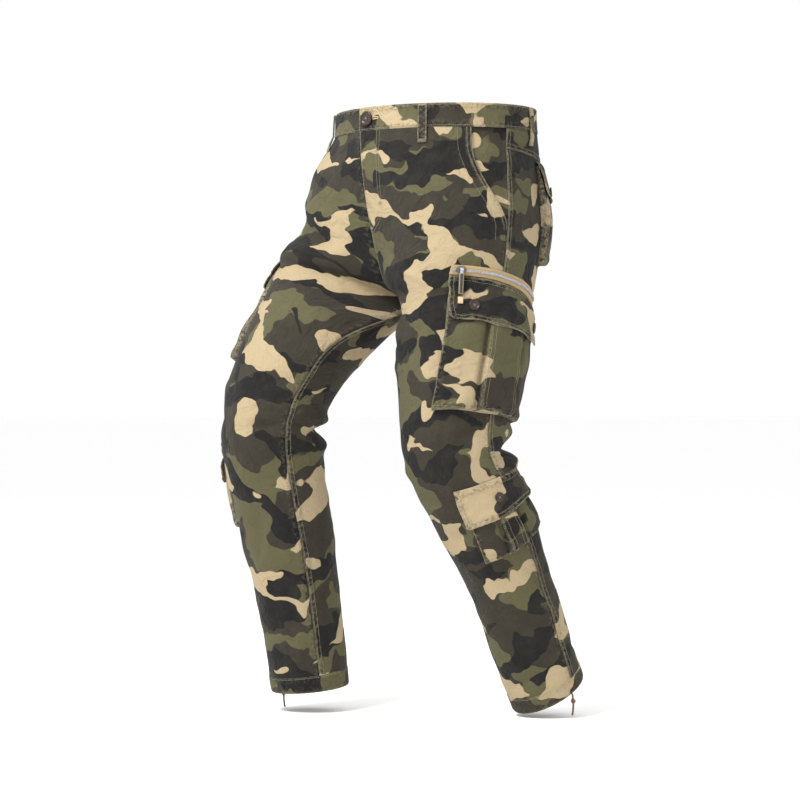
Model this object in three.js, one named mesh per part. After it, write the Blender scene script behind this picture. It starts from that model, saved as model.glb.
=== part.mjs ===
// Cargo trousers in a woodland print, hollow and filled out as worn in mid-stride.
// Millimetres, +Z up, the front faces -Y and the wearer's left is +X.
// The origin is the centre of the waist opening, level with the waistband's top edge.
// "down" is the distance below the waist's top edge, measured along a leg's cloth.
// "phi" runs round a leg in degrees: 0 at the front, 90 at the outer side seam, 180 at the back.
import * as THREE from "three";
import { mergeVertices } from "three/addons/utils/BufferGeometryUtils.js";

// Cloth, seams and layers
const CLOTH = 1.6;
const BAND_CLOTH = 2.6;
const FLAP_CLOTH = 2.2;
const SEAM_GAP = 0.3;
const HALF_GAP = SEAM_GAP / 2;
const FACING_GAP = 1.5;
const SEWN_GAP = 0.85;
const ZIP_GAP = 0.95;
const MIDDLE_GAP = 0.25;

// Heights down the leg
const BAND_HEIGHT = 37;
const CROTCH_DOWN = 300;
const HEM_DOWN = 962;
const HEM_HEIGHT = 24;
const YOKE_AT_SIDE = 69;
const YOKE_AT_BACK = 98;
const POCKET_MOUTH_END = 192;

// Half sizes of one leg's tube, as cut
const CUT = [
  { down: 0, width: 181, depth: 144 },
  { down: 37, width: 183, depth: 146 },
  { down: 110, width: 187, depth: 152 },
  { down: 180, width: 176, depth: 150 },
  { down: 240, width: 144, depth: 138 },
  { down: 300, width: 98, depth: 114 },
  { down: 370, width: 96, depth: 102 },
  { down: 440, width: 89, depth: 93 },
  { down: 530, width: 80, depth: 82 },
  { down: 590, width: 78, depth: 79 },
  { down: 650, width: 75, depth: 75 },
  { down: 740, width: 68, depth: 69 },
  { down: 840, width: 63, depth: 64 },
  { down: 962, width: 60, depth: 62 },
];

// Centre and tilt of each section. pitch lifts the front of the section, roll lifts its outer side,
// yaw turns its front outwards, all in degrees. squash is how flat the section is pressed, front to back.
const POSE = {
  left: [
    { down: 0, x: 0, y: 0, z: 0, pitch: 0, roll: 0, yaw: 0, squash: 1 },
    { down: 37, x: 0, y: 0, z: -37, pitch: 0, roll: 0, yaw: 0, squash: 1 },
    { down: 110, x: 4, y: -6, z: -109, pitch: 0, roll: 0, yaw: 0, squash: 1 },
    { down: 180, x: 20, y: -8, z: -179, pitch: 1, roll: 0, yaw: 0, squash: 1 },
    { down: 240, x: 52, y: -14, z: -240, pitch: 2, roll: 1, yaw: 0, squash: 1 },
    { down: 300, x: 98, y: -22, z: -300, pitch: 5, roll: 2, yaw: 0, squash: 1 },
    { down: 370, x: 105, y: -32, z: -368, pitch: 8, roll: 3, yaw: 1, squash: 1 },
    { down: 440, x: 113, y: -43, z: -437, pitch: 8, roll: 4, yaw: 2, squash: 1 },
    { down: 530, x: 120, y: -52, z: -523, pitch: -4, roll: 4, yaw: 3, squash: 1 },
    { down: 590, x: 123, y: -32, z: -577, pitch: -18, roll: 4, yaw: 4, squash: 1 },
    { down: 650, x: 126, y: -5, z: -631, pitch: -25, roll: 4, yaw: 5, squash: 0.96 },
    { down: 740, x: 130, y: 35, z: -710, pitch: -25, roll: 4, yaw: 5, squash: 0.95 },
    { down: 840, x: 135, y: 72, z: -803, pitch: -22, roll: 4, yaw: 5, squash: 0.96 },
    { down: 962, x: 141, y: 115, z: -913, pitch: -30, roll: 5, yaw: 5, squash: 1 },
  ],
  right: [
    { down: 0, x: 0, y: 0, z: 0, pitch: 0, roll: 0, yaw: 0, squash: 1 },
    { down: 37, x: 0, y: 0, z: -37, pitch: 0, roll: 0, yaw: 0, squash: 1 },
    { down: 110, x: -4, y: -36, z: -106, pitch: 6, roll: 0, yaw: 0, squash: 1 },
    { down: 180, x: -20, y: -64, z: -172, pitch: 12, roll: 0, yaw: 2, squash: 1 },
    { down: 240, x: -54, y: -92, z: -230, pitch: 20, roll: 1, yaw: 5, squash: 0.97 },
    { down: 300, x: -102, y: -120, z: -285, pitch: 28, roll: 2, yaw: 8, squash: 0.94 },
    { down: 370, x: -106, y: -156, z: -337, pitch: 34, roll: 3, yaw: 11, squash: 0.91 },
    { down: 440, x: -111, y: -194, z: -391, pitch: 30, roll: 3, yaw: 14, squash: 0.93 },
    { down: 530, x: -117, y: -229, z: -464, pitch: 14, roll: 3, yaw: 16, squash: 0.97 },
    { down: 590, x: -120, y: -232, z: -517, pitch: 0, roll: 3, yaw: 17, squash: 1.02 },
    { down: 650, x: -124, y: -219, z: -580, pitch: -12, roll: 3, yaw: 17, squash: 1.04 },
    { down: 740, x: -129, y: -193, z: -674, pitch: -16, roll: 3, yaw: 17, squash: 1.05 },
    { down: 840, x: -134, y: -169, z: -778, pitch: -14, roll: 3, yaw: 17, squash: 1.04 },
    { down: 962, x: -140, y: -145, z: -913, pitch: -6, roll: 2, yaw: 17, squash: 1 },
  ],
};

// The rise seam in the plane between the legs, front and back, down to the crotch point
const RISE = [
  { down: 0, frontY: -144, frontZ: 0, backY: 144, backZ: 0 },
  { down: 37, frontY: -146, frontZ: -37, backY: 147, backZ: -37 },
  { down: 110, frontY: -140, frontZ: -109, backY: 158, backZ: -109 },
  { down: 180, frontY: -127, frontZ: -179, backY: 158, backZ: -179 },
  { down: 240, frontY: -111, frontZ: -239, backY: 122, backZ: -240 },
  { down: 275, frontY: -90, frontZ: -277, backY: 52, backZ: -285 },
  { down: 300, frontY: -34, frontZ: -303, backY: -34, backZ: -303 },
];

// Creases, as soft ridges (height above 0) and troughs (below 0) along a line on the cloth.
// turn is the line's slope: 0 runs round the leg, positive falls towards the back.
const FOLDS = {
  left: [
    { phi: 150, down: 545, turn: -8, length: 150, width: 13, height: -15 },
    { phi: 140, down: 518, turn: 4, length: 130, width: 15, height: 7 },
    { phi: 150, down: 578, turn: -6, length: 110, width: 15, height: 7 },
    { phi: 60, down: 524, turn: -24, length: 130, width: 12, height: -4 },
    { phi: -20, down: 342, turn: 38, length: 120, width: 14, height: -5 },
  ],
  right: [
    { phi: 58, down: 104, turn: 70, length: 190, width: 45, height: 13 },
    { phi: 38, down: 176, turn: -22, length: 210, width: 22, height: 9 },
    { phi: 26, down: 218, turn: -26, length: 220, width: 20, height: -8 },
    { phi: 205, down: 568, turn: 6, length: 160, width: 13, height: -15 },
    { phi: 212, down: 533, turn: -6, length: 150, width: 16, height: 8 },
    { phi: 205, down: 600, turn: 12, length: 140, width: 15, height: 8 },
    { phi: 10, down: 560, turn: 24, length: 130, width: 13, height: -4 },
  ],
};

const RADIANS = Math.PI / 180;
const SIDES = { left: 1, right: -1 };

// A smooth curve through one column of a table, keyed by down
function along(table, column, down) {
  const last = table.length - 1;
  let i = 0;
  while (i < last - 1 && down > table[i + 1].down) i += 1;
  const slope = (a, b) => (table[b][column] - table[a][column]) / (table[b].down - table[a].down);
  const tangent = (k) => {
    if (k === 0) return slope(0, 1);
    if (k === last) return slope(last - 1, last);
    return slope(k - 1, k + 1);
  };
  const span = table[i + 1].down - table[i].down;
  const t = Math.min(1, Math.max(0, (down - table[i].down) / span));
  const t2 = t * t;
  const t3 = t2 * t;
  return (
    table[i][column] * (2 * t3 - 3 * t2 + 1) +
    tangent(i) * span * (t3 - 2 * t2 + t) +
    table[i + 1][column] * (3 * t2 - 2 * t3) +
    tangent(i + 1) * span * (t3 - t2)
  );
}

const mix = (a, b, t) => a + (b - a) * t;

function smooth(from, to, value) {
  const t = Math.min(1, Math.max(0, (value - from) / (to - from)));
  return t * t * (3 - 2 * t);
}

const tubeRadius = (down) => (along(CUT, "width", down) + along(CUT, "depth", down)) / 2;

// Half sizes of a section as the leg wears it
const halfWidth = (side, down) => along(CUT, "width", down) / along(POSE[side], "squash", down);
const halfDepth = (side, down) => along(CUT, "depth", down) * along(POSE[side], "squash", down);

// Where the cloth's inner edge leaves the section, in phi. The seam itself lies on the rise above the
// crotch and on the inseam below it, and the cloth between is drawn towards it.
const WIDEST_REACH = 62;
const INSEAM_SETTLED = 385;
function innerPhi(side, down) {
  if (down > CROTCH_DOWN) {
    return -mix(WIDEST_REACH, 90, smooth(CROTCH_DOWN, INSEAM_SETTLED, down));
  }
  const reach = Math.abs(along(POSE[side], "x", down)) / halfWidth(side, down);
  return -Math.min(WIDEST_REACH, Math.asin(Math.min(1, reach)) / RADIANS);
}

// How far the creases lift or sink the cloth at a point
function foldLift(side, phi, down) {
  const radius = tubeRadius(down);
  let lift = 0;
  for (const fold of FOLDS[side]) {
    const across = (phi - fold.phi) * RADIANS * radius;
    const below = down - fold.down;
    const cos = Math.cos(fold.turn * RADIANS);
    const sin = Math.sin(fold.turn * RADIANS);
    const run = (across * cos + below * sin) / (fold.length / 2);
    const off = (below * cos - across * sin) / fold.width;
    if (Math.abs(run) < 1) lift += fold.height * (1 - run * run) ** 2 * Math.exp(-off * off);
  }
  return lift;
}

// A point of one section's ring, before the rise seam pulls the inner edge to the middle
function ringPoint(side, phi, down) {
  const s = SIDES[side];
  const pose = (column) => along(POSE[side], column, down);
  const lift = foldLift(side, phi, down);
  const point = new THREE.Vector3(
    s * (halfWidth(side, down) + lift) * Math.sin(phi * RADIANS),
    -(halfDepth(side, down) + lift) * Math.cos(phi * RADIANS),
    0,
  );
  point.applyAxisAngle(new THREE.Vector3(1, 0, 0), -pose("pitch") * RADIANS);
  point.applyAxisAngle(new THREE.Vector3(0, 1, 0), -s * pose("roll") * RADIANS);
  point.applyAxisAngle(new THREE.Vector3(0, 0, 1), s * pose("yaw") * RADIANS);
  return point.add(new THREE.Vector3(pose("x"), pose("y"), pose("z")));
}

// The seam on the leg's inner side: the rise down to the crotch, then the inseam
function innerSeam(side, end, down) {
  const rise = Math.min(down, CROTCH_DOWN);
  const seam = new THREE.Vector3(0, along(RISE, end + "Y", rise), along(RISE, end + "Z", rise));
  if (down <= CROTCH_DOWN) return seam;
  const drawn = seam.sub(ringPoint(side, -90, CROTCH_DOWN));
  const reach = (down - CROTCH_DOWN) / 60;
  return ringPoint(side, -90, down).addScaledVector(drawn, Math.exp(-(reach ** 2)));
}

// The outer face of the cloth
function clothPoint(side, phi, down) {
  const point = ringPoint(side, phi, down);
  const front = phi < 90;
  const edge = front ? innerPhi(side, down) : 180 - innerPhi(side, down);
  const share = Math.min(1, Math.max(0, (phi - edge) / (90 - edge)));
  const pull = innerSeam(side, front ? "front" : "back", down).sub(ringPoint(side, edge, down));
  const sharpness = 2 + 2 * smooth(215, 285, down);
  point.addScaledVector(pull, (1 - share) ** sharpness);
  if (down <= CROTCH_DOWN) {
    point.x = SIDES[side] * Math.max(SIDES[side] * point.x, MIDDLE_GAP);
  }
  return point;
}

// The outward direction of the cloth
function clothNormal(side, phi, down) {
  const edge = innerPhi(side, down);
  const step = 2;
  const a = clothPoint(side, Math.max(phi - step, edge), down);
  const b = clothPoint(side, Math.min(phi + step, 180 - edge), down);
  const c = clothPoint(side, phi, Math.max(down - step, 0));
  const d = clothPoint(side, phi, Math.min(down + step, HEM_DOWN));
  return b.sub(a).cross(d.sub(c)).normalize().multiplyScalar(-SIDES[side]);
}

// The outward direction at the inner seam, the same for the panels on both sides of it
function seamNormal(side, end, down) {
  if (down > CROTCH_DOWN) {
    const inward = ringPoint(side, -90, down).sub(ringPoint(side, 90, down)).normalize();
    const reach = (down - CROTCH_DOWN) / 60;
    return inward.lerp(new THREE.Vector3(0, 0, -1), Math.exp(-(reach ** 2))).normalize();
  }
  const step = 3;
  const above = Math.max(0, down - step);
  const below = Math.min(CROTCH_DOWN, down + step);
  const y = along(RISE, end + "Y", below) - along(RISE, end + "Y", above);
  const z = along(RISE, end + "Z", below) - along(RISE, end + "Z", above);
  const normal = end === "front" ? new THREE.Vector3(0, z, -y) : new THREE.Vector3(0, -z, y);
  const settle = smooth(CROTCH_DOWN - 30, CROTCH_DOWN, down);
  return normal.normalize().lerp(new THREE.Vector3(0, 0, -1), settle).normalize();
}

// A point lifted off the cloth's outer face, at an angle round the leg. Near the inner seam the
// direction turns to the seam's own, so that the cloth's thickness meets edge to edge.
function lifted(side, phi, down, lift) {
  const front = phi < 90;
  const edge = front ? innerPhi(side, down) : 180 - innerPhi(side, down);
  const share = Math.min(1, Math.max(0, (phi - edge) / (90 - edge)));
  const normal = seamNormal(side, front ? "front" : "back", down);
  normal.lerp(clothNormal(side, phi, down), smooth(0, 0.3, share)).normalize();
  const point = clothPoint(side, phi, down).addScaledVector(normal, lift);
  if (down <= CROTCH_DOWN) {
    point.x = SIDES[side] * Math.max(SIDES[side] * point.x, MIDDLE_GAP);
  }
  return point;
}

// The same, at a distance behind the outer side seam, in millimetres
function besideSeam(side, behind, down, lift) {
  return lifted(side, 90 + behind / tubeRadius(down) / RADIANS, down, lift);
}

// A closed wall between two grids of points. outer and inner give a point for (column, row).
// A ring's last column joins its first.
function wall(columns, rows, outer, inner, ring = false) {
  const wide = ring ? columns : columns + 1;
  const points = [];
  for (const face of [outer, inner]) {
    for (let j = 0; j <= rows; j += 1) {
      for (let i = 0; i < wide; i += 1) points.push(face(i, j));
    }
  }
  const at = (layer, i, j) => layer * wide * (rows + 1) + j * wide + (i % wide);
  const triangles = [];
  const quad = (a, b, c, d) => triangles.push(a, b, c, a, c, d);
  for (let j = 0; j < rows; j += 1) {
    for (let i = 0; i < columns; i += 1) {
      quad(at(0, i, j), at(0, i, j + 1), at(0, i + 1, j + 1), at(0, i + 1, j));
      quad(at(1, i, j), at(1, i + 1, j), at(1, i + 1, j + 1), at(1, i, j + 1));
    }
    if (!ring) {
      quad(at(0, 0, j), at(1, 0, j), at(1, 0, j + 1), at(0, 0, j + 1));
      quad(at(0, columns, j), at(0, columns, j + 1), at(1, columns, j + 1), at(1, columns, j));
    }
  }
  for (let i = 0; i < columns; i += 1) {
    quad(at(0, i, 0), at(0, i + 1, 0), at(1, i + 1, 0), at(1, i, 0));
    quad(at(0, i, rows), at(1, i, rows), at(1, i + 1, rows), at(0, i + 1, rows));
  }
  return closed(points, triangles);
}

// A closed geometry from points and corner numbers
function closed(points, triangles) {
  const geometry = new THREE.BufferGeometry();
  geometry.setAttribute("position", new THREE.Float32BufferAttribute(points.flatMap((p) => p.toArray()), 3));
  geometry.setIndex(triangles);
  return facingOut(geometry);
}

// Turns every triangle round if the closed geometry is inside out
function facingOut(geometry) {
  const place = geometry.getAttribute("position");
  const index = geometry.getIndex().array;
  const [a, b, c] = [new THREE.Vector3(), new THREE.Vector3(), new THREE.Vector3()];
  let volume = 0;
  for (let i = 0; i < index.length; i += 3) {
    a.fromBufferAttribute(place, index[i]);
    b.fromBufferAttribute(place, index[i + 1]);
    c.fromBufferAttribute(place, index[i + 2]);
    volume += a.dot(b.cross(c));
  }
  if (volume < 0) {
    for (let i = 0; i < index.length; i += 3) {
      [index[i + 1], index[i + 2]] = [index[i + 2], index[i + 1]];
    }
  }
  geometry.computeVertexNormals();
  return geometry;
}

// Materials, with the photo's colours
const finish = (color, roughness, metalness = 0) => new THREE.MeshStandardMaterial({ color, roughness, metalness });
const TWILL = finish(0x5d5a47, 0.9);
const ZIP_TAPE = finish(0xb08d57, 0.85);
const ZIP_METAL = finish(0xa7aaae, 0.4, 1);
const BUTTON = finish(0x2e211c, 0.35);
const CORD = finish(0x4a3020, 0.9);

const trousers = new THREE.Group();
function add(name, geometry, material) {
  const mesh = new THREE.Mesh(geometry, material);
  mesh.name = name;
  trousers.add(mesh);
}

// Leg panels
const FRONT_COLUMNS = 12;
const BACK_COLUMNS = 12;
const PANEL_ROWS = [
  37.3, 68, 100, 130, 155, 175, 192, 212, 232, 252, 270, 286, 300, 320, 350, 390, 435, 472, 495, 514, 533, 549, 567,
  595, 650, 695, 745, 840, 937.7,
];

// How far the slanted pocket mouth stands in front of the side seam
function mouthInset(down) {
  const share = Math.max(0, (POCKET_MOUTH_END - down) / (POCKET_MOUTH_END - BAND_HEIGHT));
  return 66 * Math.sin(Math.min(1, share * 1.15) * (Math.PI / 2)) ** 1.4;
}

// The left front laps over the right along the fly, so its edge there stands a little higher
const FLY_LIFT = 1.2;
const FLY_END = 195;

function frontPanel(side) {
  const place = (i, j, base) => {
    const down = PANEL_ROWS[j];
    const lift = base + (side === "left" && i === 0 && down < FLY_END ? FLY_LIFT : 0);
    const edge = innerPhi(side, down);
    const radius = tubeRadius(down);
    const gap = HALF_GAP / radius / RADIANS;
    const outerEdge = 90 - mouthInset(down) / radius / RADIANS;
    const phi = mix(edge + (down > CROTCH_DOWN ? gap : 0), outerEdge - gap, i / FRONT_COLUMNS);
    return lifted(side, phi, down, lift);
  };
  return wall(FRONT_COLUMNS, PANEL_ROWS.length - 1, (i, j) => place(i, j, 0), (i, j) => place(i, j, -CLOTH));
}

// The yoke's lower seam, from the side seam to the middle of the back
const yokeLine = (phi) => mix(YOKE_AT_SIDE, YOKE_AT_BACK, Math.max(0, (phi - 90) / 90));

function backPhi(side, down, share) {
  const gap = HALF_GAP / tubeRadius(down) / RADIANS;
  return mix(90 + gap, 180 - innerPhi(side, down) - (down > CROTCH_DOWN ? gap : 0), share);
}

function backPanel(side) {
  const settled = 240;
  const place = (i, j, lift) => {
    const row = PANEL_ROWS[j];
    const share = i / BACK_COLUMNS;
    const top = yokeLine(backPhi(side, row, share)) + SEAM_GAP;
    const squeeze = (settled - top) / (settled - PANEL_ROWS[0]);
    const down = row < settled ? settled - (settled - row) * squeeze : row;
    return lifted(side, backPhi(side, down, share), down, lift);
  };
  return wall(BACK_COLUMNS, PANEL_ROWS.length - 1, (i, j) => place(i, j, 0), (i, j) => place(i, j, -CLOTH));
}

function backYoke(side) {
  const rows = 2;
  const place = (i, j, lift) => {
    const share = i / BACK_COLUMNS;
    const down = mix(BAND_HEIGHT + SEAM_GAP, yokeLine(backPhi(side, YOKE_AT_SIDE, share)), j / rows);
    return lifted(side, backPhi(side, down, share), down, lift);
  };
  return wall(BACK_COLUMNS, rows, (i, j) => place(i, j, 0), (i, j) => place(i, j, -CLOTH));
}

// The cloth that shows in the slanted pocket's mouth, behind the front panel
function pocketFacing(side) {
  const columns = 5;
  const downs = [37.3, 62, 90, 118, 145, 170, 190, 206];
  const under = 16;
  const place = (i, j, lift) => {
    const down = downs[j];
    const behind = mix(-mouthInset(down) - under, -SEAM_GAP, i / columns);
    return besideSeam(side, behind, down, lift);
  };
  const sink = -CLOTH - FACING_GAP;
  return wall(columns, downs.length - 1, (i, j) => place(i, j, sink), (i, j) => place(i, j, sink - CLOTH));
}

// Sewn on the outside: pockets, flaps and zips

// A patch of the leg's outer side, by its corners' distances behind the side seam and down the leg.
// sag is how much its back end lies lower than its front end, growing towards the back.
function patchSpot(patch, across, below) {
  const front = mix(patch.frontTop, patch.frontBottom, below);
  const back = mix(patch.backTop, patch.backBottom, below);
  const top = patch.top + patch.topSag * across ** 2;
  const bottom = patch.bottom + patch.bottomSag * across ** 2;
  return { behind: mix(front, back, across), down: mix(top, bottom, below) };
}

function patchPoint(side, patch, across, below, lift) {
  const spot = patchSpot(patch, across, below);
  return besideSeam(side, spot.behind, spot.down, lift);
}

// A pocket's pouch: its side and bottom walls stand on the leg, and its top is open under the flap
function pouch(side, patch, profile, rises) {
  const width = patch.backTop - patch.frontTop;
  const height = patch.bottom - patch.top;
  const place = (i, j, inside) => {
    const foot = i === 0 || i === profile.length - 1 || j === rises.length - 1;
    const inset = inside ? POUCH_CLOTH / width : 0;
    const across = mix(inset, 1 - inset, profile[i].across);
    const below = rises[j].below * (1 - (inside ? POUCH_CLOTH / height : 0));
    const lift = foot ? SEWN_GAP : profile[i].lift * rises[j].rise + (inside ? 0 : POUCH_CLOTH);
    return patchPoint(side, patch, across, below, lift);
  };
  return wall(profile.length - 1, rises.length - 1, (i, j) => place(i, j, false), (i, j) => place(i, j, true));
}

// A flap, sewn down along its top edge and standing off the pouch below it
function flap(side, patch, columns, lifts) {
  const place = (i, j, inside) => {
    const lift = lifts[j].lift + (inside ? 0 : FLAP_CLOTH);
    return patchPoint(side, patch, i / columns, lifts[j].below, lift);
  };
  return wall(columns, lifts.length - 1, (i, j) => place(i, j, false), (i, j) => place(i, j, true));
}

const POUCH_CLOTH = 1.6;

const CARGO_POUCH = {
  frontTop: -80, backTop: 95, frontBottom: -93, backBottom: 86, top: 281, bottom: 482, topSag: 31, bottomSag: 16,
};
const CARGO_FLAP = {
  frontTop: -85, backTop: 98, frontBottom: -78, backBottom: 98, top: 272, bottom: 346, topSag: 31, bottomSag: 20,
};
const CARGO_ZIP = {
  frontTop: -86, backTop: 98, frontBottom: -86, backBottom: 98, top: 255, bottom: 271, topSag: 31, bottomSag: 31,
};
const CARGO_PROFILE = [
  { across: 0, lift: 0 },
  { across: 0.014, lift: 9 },
  { across: 0.1, lift: 9.5 },
  { across: 0.2, lift: 10 },
  { across: 0.29, lift: 9 },
  { across: 0.335, lift: 3.5 },
  { across: 0.375, lift: 10 },
  { across: 0.49, lift: 10.6 },
  { across: 0.61, lift: 11 },
  { across: 0.72, lift: 10.5 },
  { across: 0.765, lift: 4 },
  { across: 0.81, lift: 9 },
  { across: 0.9, lift: 9.5 },
  { across: 0.986, lift: 9 },
  { across: 1, lift: 0 },
];
const CARGO_RISES = [
  { below: 0, rise: 0.16 },
  { below: 0.12, rise: 0.5 },
  { below: 0.3, rise: 0.9 },
  { below: 0.5, rise: 1.05 },
  { below: 0.7, rise: 1.1 },
  { below: 0.86, rise: 1.05 },
  { below: 0.985, rise: 0.95 },
  { below: 1, rise: 0 },
];
const CARGO_FLAP_LIFTS = [
  { below: 0, lift: SEWN_GAP },
  { below: 0.1, lift: 4.2 },
  { below: 0.4, lift: 8.6 },
  { below: 0.75, lift: 11.6 },
  { below: 1, lift: 13.6 },
];

const CALF_POUCH = {
  frontTop: -76, backTop: 37, frontBottom: -78, backBottom: 42, top: 598, bottom: 709, topSag: -2, bottomSag: -19,
};
const CALF_FLAP = {
  frontTop: -80, backTop: 40, frontBottom: -82, backBottom: 44, top: 590, bottom: 645, topSag: -2, bottomSag: -8,
};
const CALF_PROFILE = [
  { across: 0, lift: 0 },
  { across: 0.02, lift: 7 },
  { across: 0.13, lift: 7.4 },
  { across: 0.24, lift: 7 },
  { across: 0.34, lift: 3 },
  { across: 0.39, lift: 8 },
  { across: 0.5, lift: 8.5 },
  { across: 0.61, lift: 8 },
  { across: 0.66, lift: 3 },
  { across: 0.76, lift: 7 },
  { across: 0.87, lift: 7.4 },
  { across: 0.98, lift: 7 },
  { across: 1, lift: 0 },
];
const CALF_RISES = [
  { below: 0, rise: 0.16 },
  { below: 0.2, rise: 0.6 },
  { below: 0.45, rise: 0.95 },
  { below: 0.7, rise: 1.05 },
  { below: 0.975, rise: 0.9 },
  { below: 1, rise: 0 },
];
const CALF_FLAP_LIFTS = [
  { below: 0, lift: SEWN_GAP },
  { below: 0.12, lift: 3.6 },
  { below: 0.5, lift: 7.2 },
  { below: 1, lift: 10 },
];

const BACK_POUCH = {
  frontTop: 95, backTop: 222, frontBottom: 98, backBottom: 208, top: 92, bottom: 241, topSag: 18, bottomSag: 0,
};
const BACK_FLAP = {
  frontTop: 92, backTop: 225, frontBottom: 92, backBottom: 225, top: 84, bottom: 141, topSag: 18, bottomSag: 16,
};
const BACK_PROFILE = [
  { across: 0, lift: 0 },
  { across: 0.02, lift: 11 },
  { across: 0.18, lift: 12 },
  { across: 0.34, lift: 12.4 },
  { across: 0.5, lift: 12.5 },
  { across: 0.66, lift: 12.4 },
  { across: 0.82, lift: 12 },
  { across: 0.98, lift: 10 },
  { across: 1, lift: 0 },
];
const BACK_RISES = [
  { below: 0, rise: 0.16 },
  { below: 0.15, rise: 0.6 },
  { below: 0.32, rise: 0.95 },
  { below: 0.48, rise: 1.05 },
  { below: 0.64, rise: 1.1 },
  { below: 0.78, rise: 1.05 },
  { below: 0.88, rise: 1 },
  { below: 0.98, rise: 0.9 },
  { below: 1, rise: 0 },
];
const BACK_FLAP_LIFTS = [
  { below: 0, lift: SEWN_GAP },
  { below: 0.12, lift: 4.4 },
  { below: 0.5, lift: 11 },
  { below: 1, lift: 16 },
];

// A strip that follows the zip, between two shares of its height
function zipStrip(side, from, to, lift, thickness) {
  const columns = 12;
  const place = (i, j, height) => patchPoint(side, CARGO_ZIP, i / columns, mix(from, to, j), height);
  return wall(columns, 1, (i, j) => place(i, j, lift + thickness), (i, j) => place(i, j, lift));
}

// The axes at a spot of a patch: X runs towards the back, Y up the leg and Z away from it
function patchFrame(side, patch, across, below, lift) {
  const step = 0.01;
  const origin = patchPoint(side, patch, across, below, lift);
  const x = patchPoint(side, patch, across + step, below, lift).sub(origin).normalize();
  const spot = patchSpot(patch, across, below);
  const z = clothNormal(side, 90 + spot.behind / tubeRadius(spot.down) / RADIANS, spot.down);
  z.addScaledVector(x, -z.dot(x)).normalize();
  const y = z.clone().cross(x).multiplyScalar(SIDES[side]);
  return new THREE.Matrix4().makeBasis(x, y, z).setPosition(origin);
}

// Moves a shape's geometry into place and keeps its faces outward, also on the mirrored side
function placed(geometry, frame) {
  geometry.deleteAttribute("normal");
  geometry.deleteAttribute("uv");
  return facingOut(mergeVertices(geometry.applyMatrix4(frame), 1e-5));
}

// A disc-shaped button, turned about its axis, with a sunken middle
function button(radius, frame) {
  const outline = [
    [0, 0],
    [radius * 0.86, 0],
    [radius, 0.9],
    [radius, 1.8],
    [radius * 0.88, 2.6],
    [radius * 0.7, 2.5],
    [radius * 0.62, 1.7],
    [0, 1.6],
  ].map(([r, h]) => new THREE.Vector2(r, h));
  const turned = new THREE.LatheGeometry(outline, 14);
  turned.rotateX(Math.PI / 2);
  return placed(turned, frame);
}

// A flat outline pushed through a thickness, centred on the outline's plane
function plate(outline, thickness) {
  const shape = new THREE.Shape(outline.map(([x, y]) => new THREE.Vector2(x, y)));
  const solid = new THREE.ExtrudeGeometry(shape, { depth: thickness, bevelEnabled: false });
  return solid.translate(0, 0, -thickness / 2);
}

// The zip slider: a body on the teeth, a bridge over it, and a pull that hangs from the bridge.
// The bridge runs along the zip, so the pull swings out from the leg about it.
const SLIDER = { across: 0.09, length: 16, width: 10.5, base: 0.3, height: 3.7 };
const BRIDGE = { halfLength: 5.6, post: 1.6, width: 1.6, barBottom: 6.9, barTop: 8.3 };
const HINGE_HEIGHT = (BRIDGE.barBottom + BRIDGE.barTop) / 2;
const PULL = { width: 5, eyeOuter: 2.9, eyeInner: 1.6, thickness: 1.4, length: 15 };
const STRAP = { width: 7, top: -10.6, notch: 4.9, bottom: -42, thickness: 2.4 };

function sliderBody(frame) {
  const l = SLIDER.length / 2;
  const w = SLIDER.width / 2;
  const outline = [
    [-l, -w * 0.6], [-l * 0.6, -w], [l * 0.3, -w], [l, -w * 0.5],
    [l, w * 0.5], [l * 0.3, w], [-l * 0.6, w], [-l, w * 0.6],
  ];
  const body = plate(outline, SLIDER.height - SLIDER.base);
  return placed(body.translate(0, 0, (SLIDER.height + SLIDER.base) / 2), frame);
}

function sliderBridge(frame) {
  const { halfLength: l, post, width, barBottom, barTop } = BRIDGE;
  const foot = SLIDER.height + SEAM_GAP;
  const outline = [
    [-l, foot], [-l + post, foot], [-l + post, barBottom], [l - post, barBottom],
    [l - post, foot], [l, foot], [l, barTop - 0.6], [l - 0.8, barTop], [-l + 0.8, barTop], [-l, barTop - 0.6],
  ];
  return placed(plate(outline, width).rotateX(Math.PI / 2), frame);
}

// The pull's outline is drawn from the side: first number away from the leg, second up the leg
function pullTab(frame) {
  const half = PULL.thickness / 2;
  const eye = new THREE.Shape();
  const start = Math.asin(half / PULL.eyeOuter) - Math.PI / 2;
  eye.absarc(HINGE_HEIGHT, 0, PULL.eyeOuter, start, start + 2 * Math.PI - 2 * (start + Math.PI / 2), false);
  eye.lineTo(HINGE_HEIGHT - half, -PULL.length);
  eye.lineTo(HINGE_HEIGHT + half, -PULL.length);
  const hole = new THREE.Path();
  hole.absarc(HINGE_HEIGHT, 0, PULL.eyeInner, 0, 2 * Math.PI, true);
  eye.holes.push(hole);
  const solid = new THREE.ExtrudeGeometry(eye, { depth: PULL.width, bevelEnabled: false, curveSegments: 14 });
  solid.translate(0, 0, -PULL.width / 2).rotateY(-Math.PI / 2);
  return placed(solid, frame);
}

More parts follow.
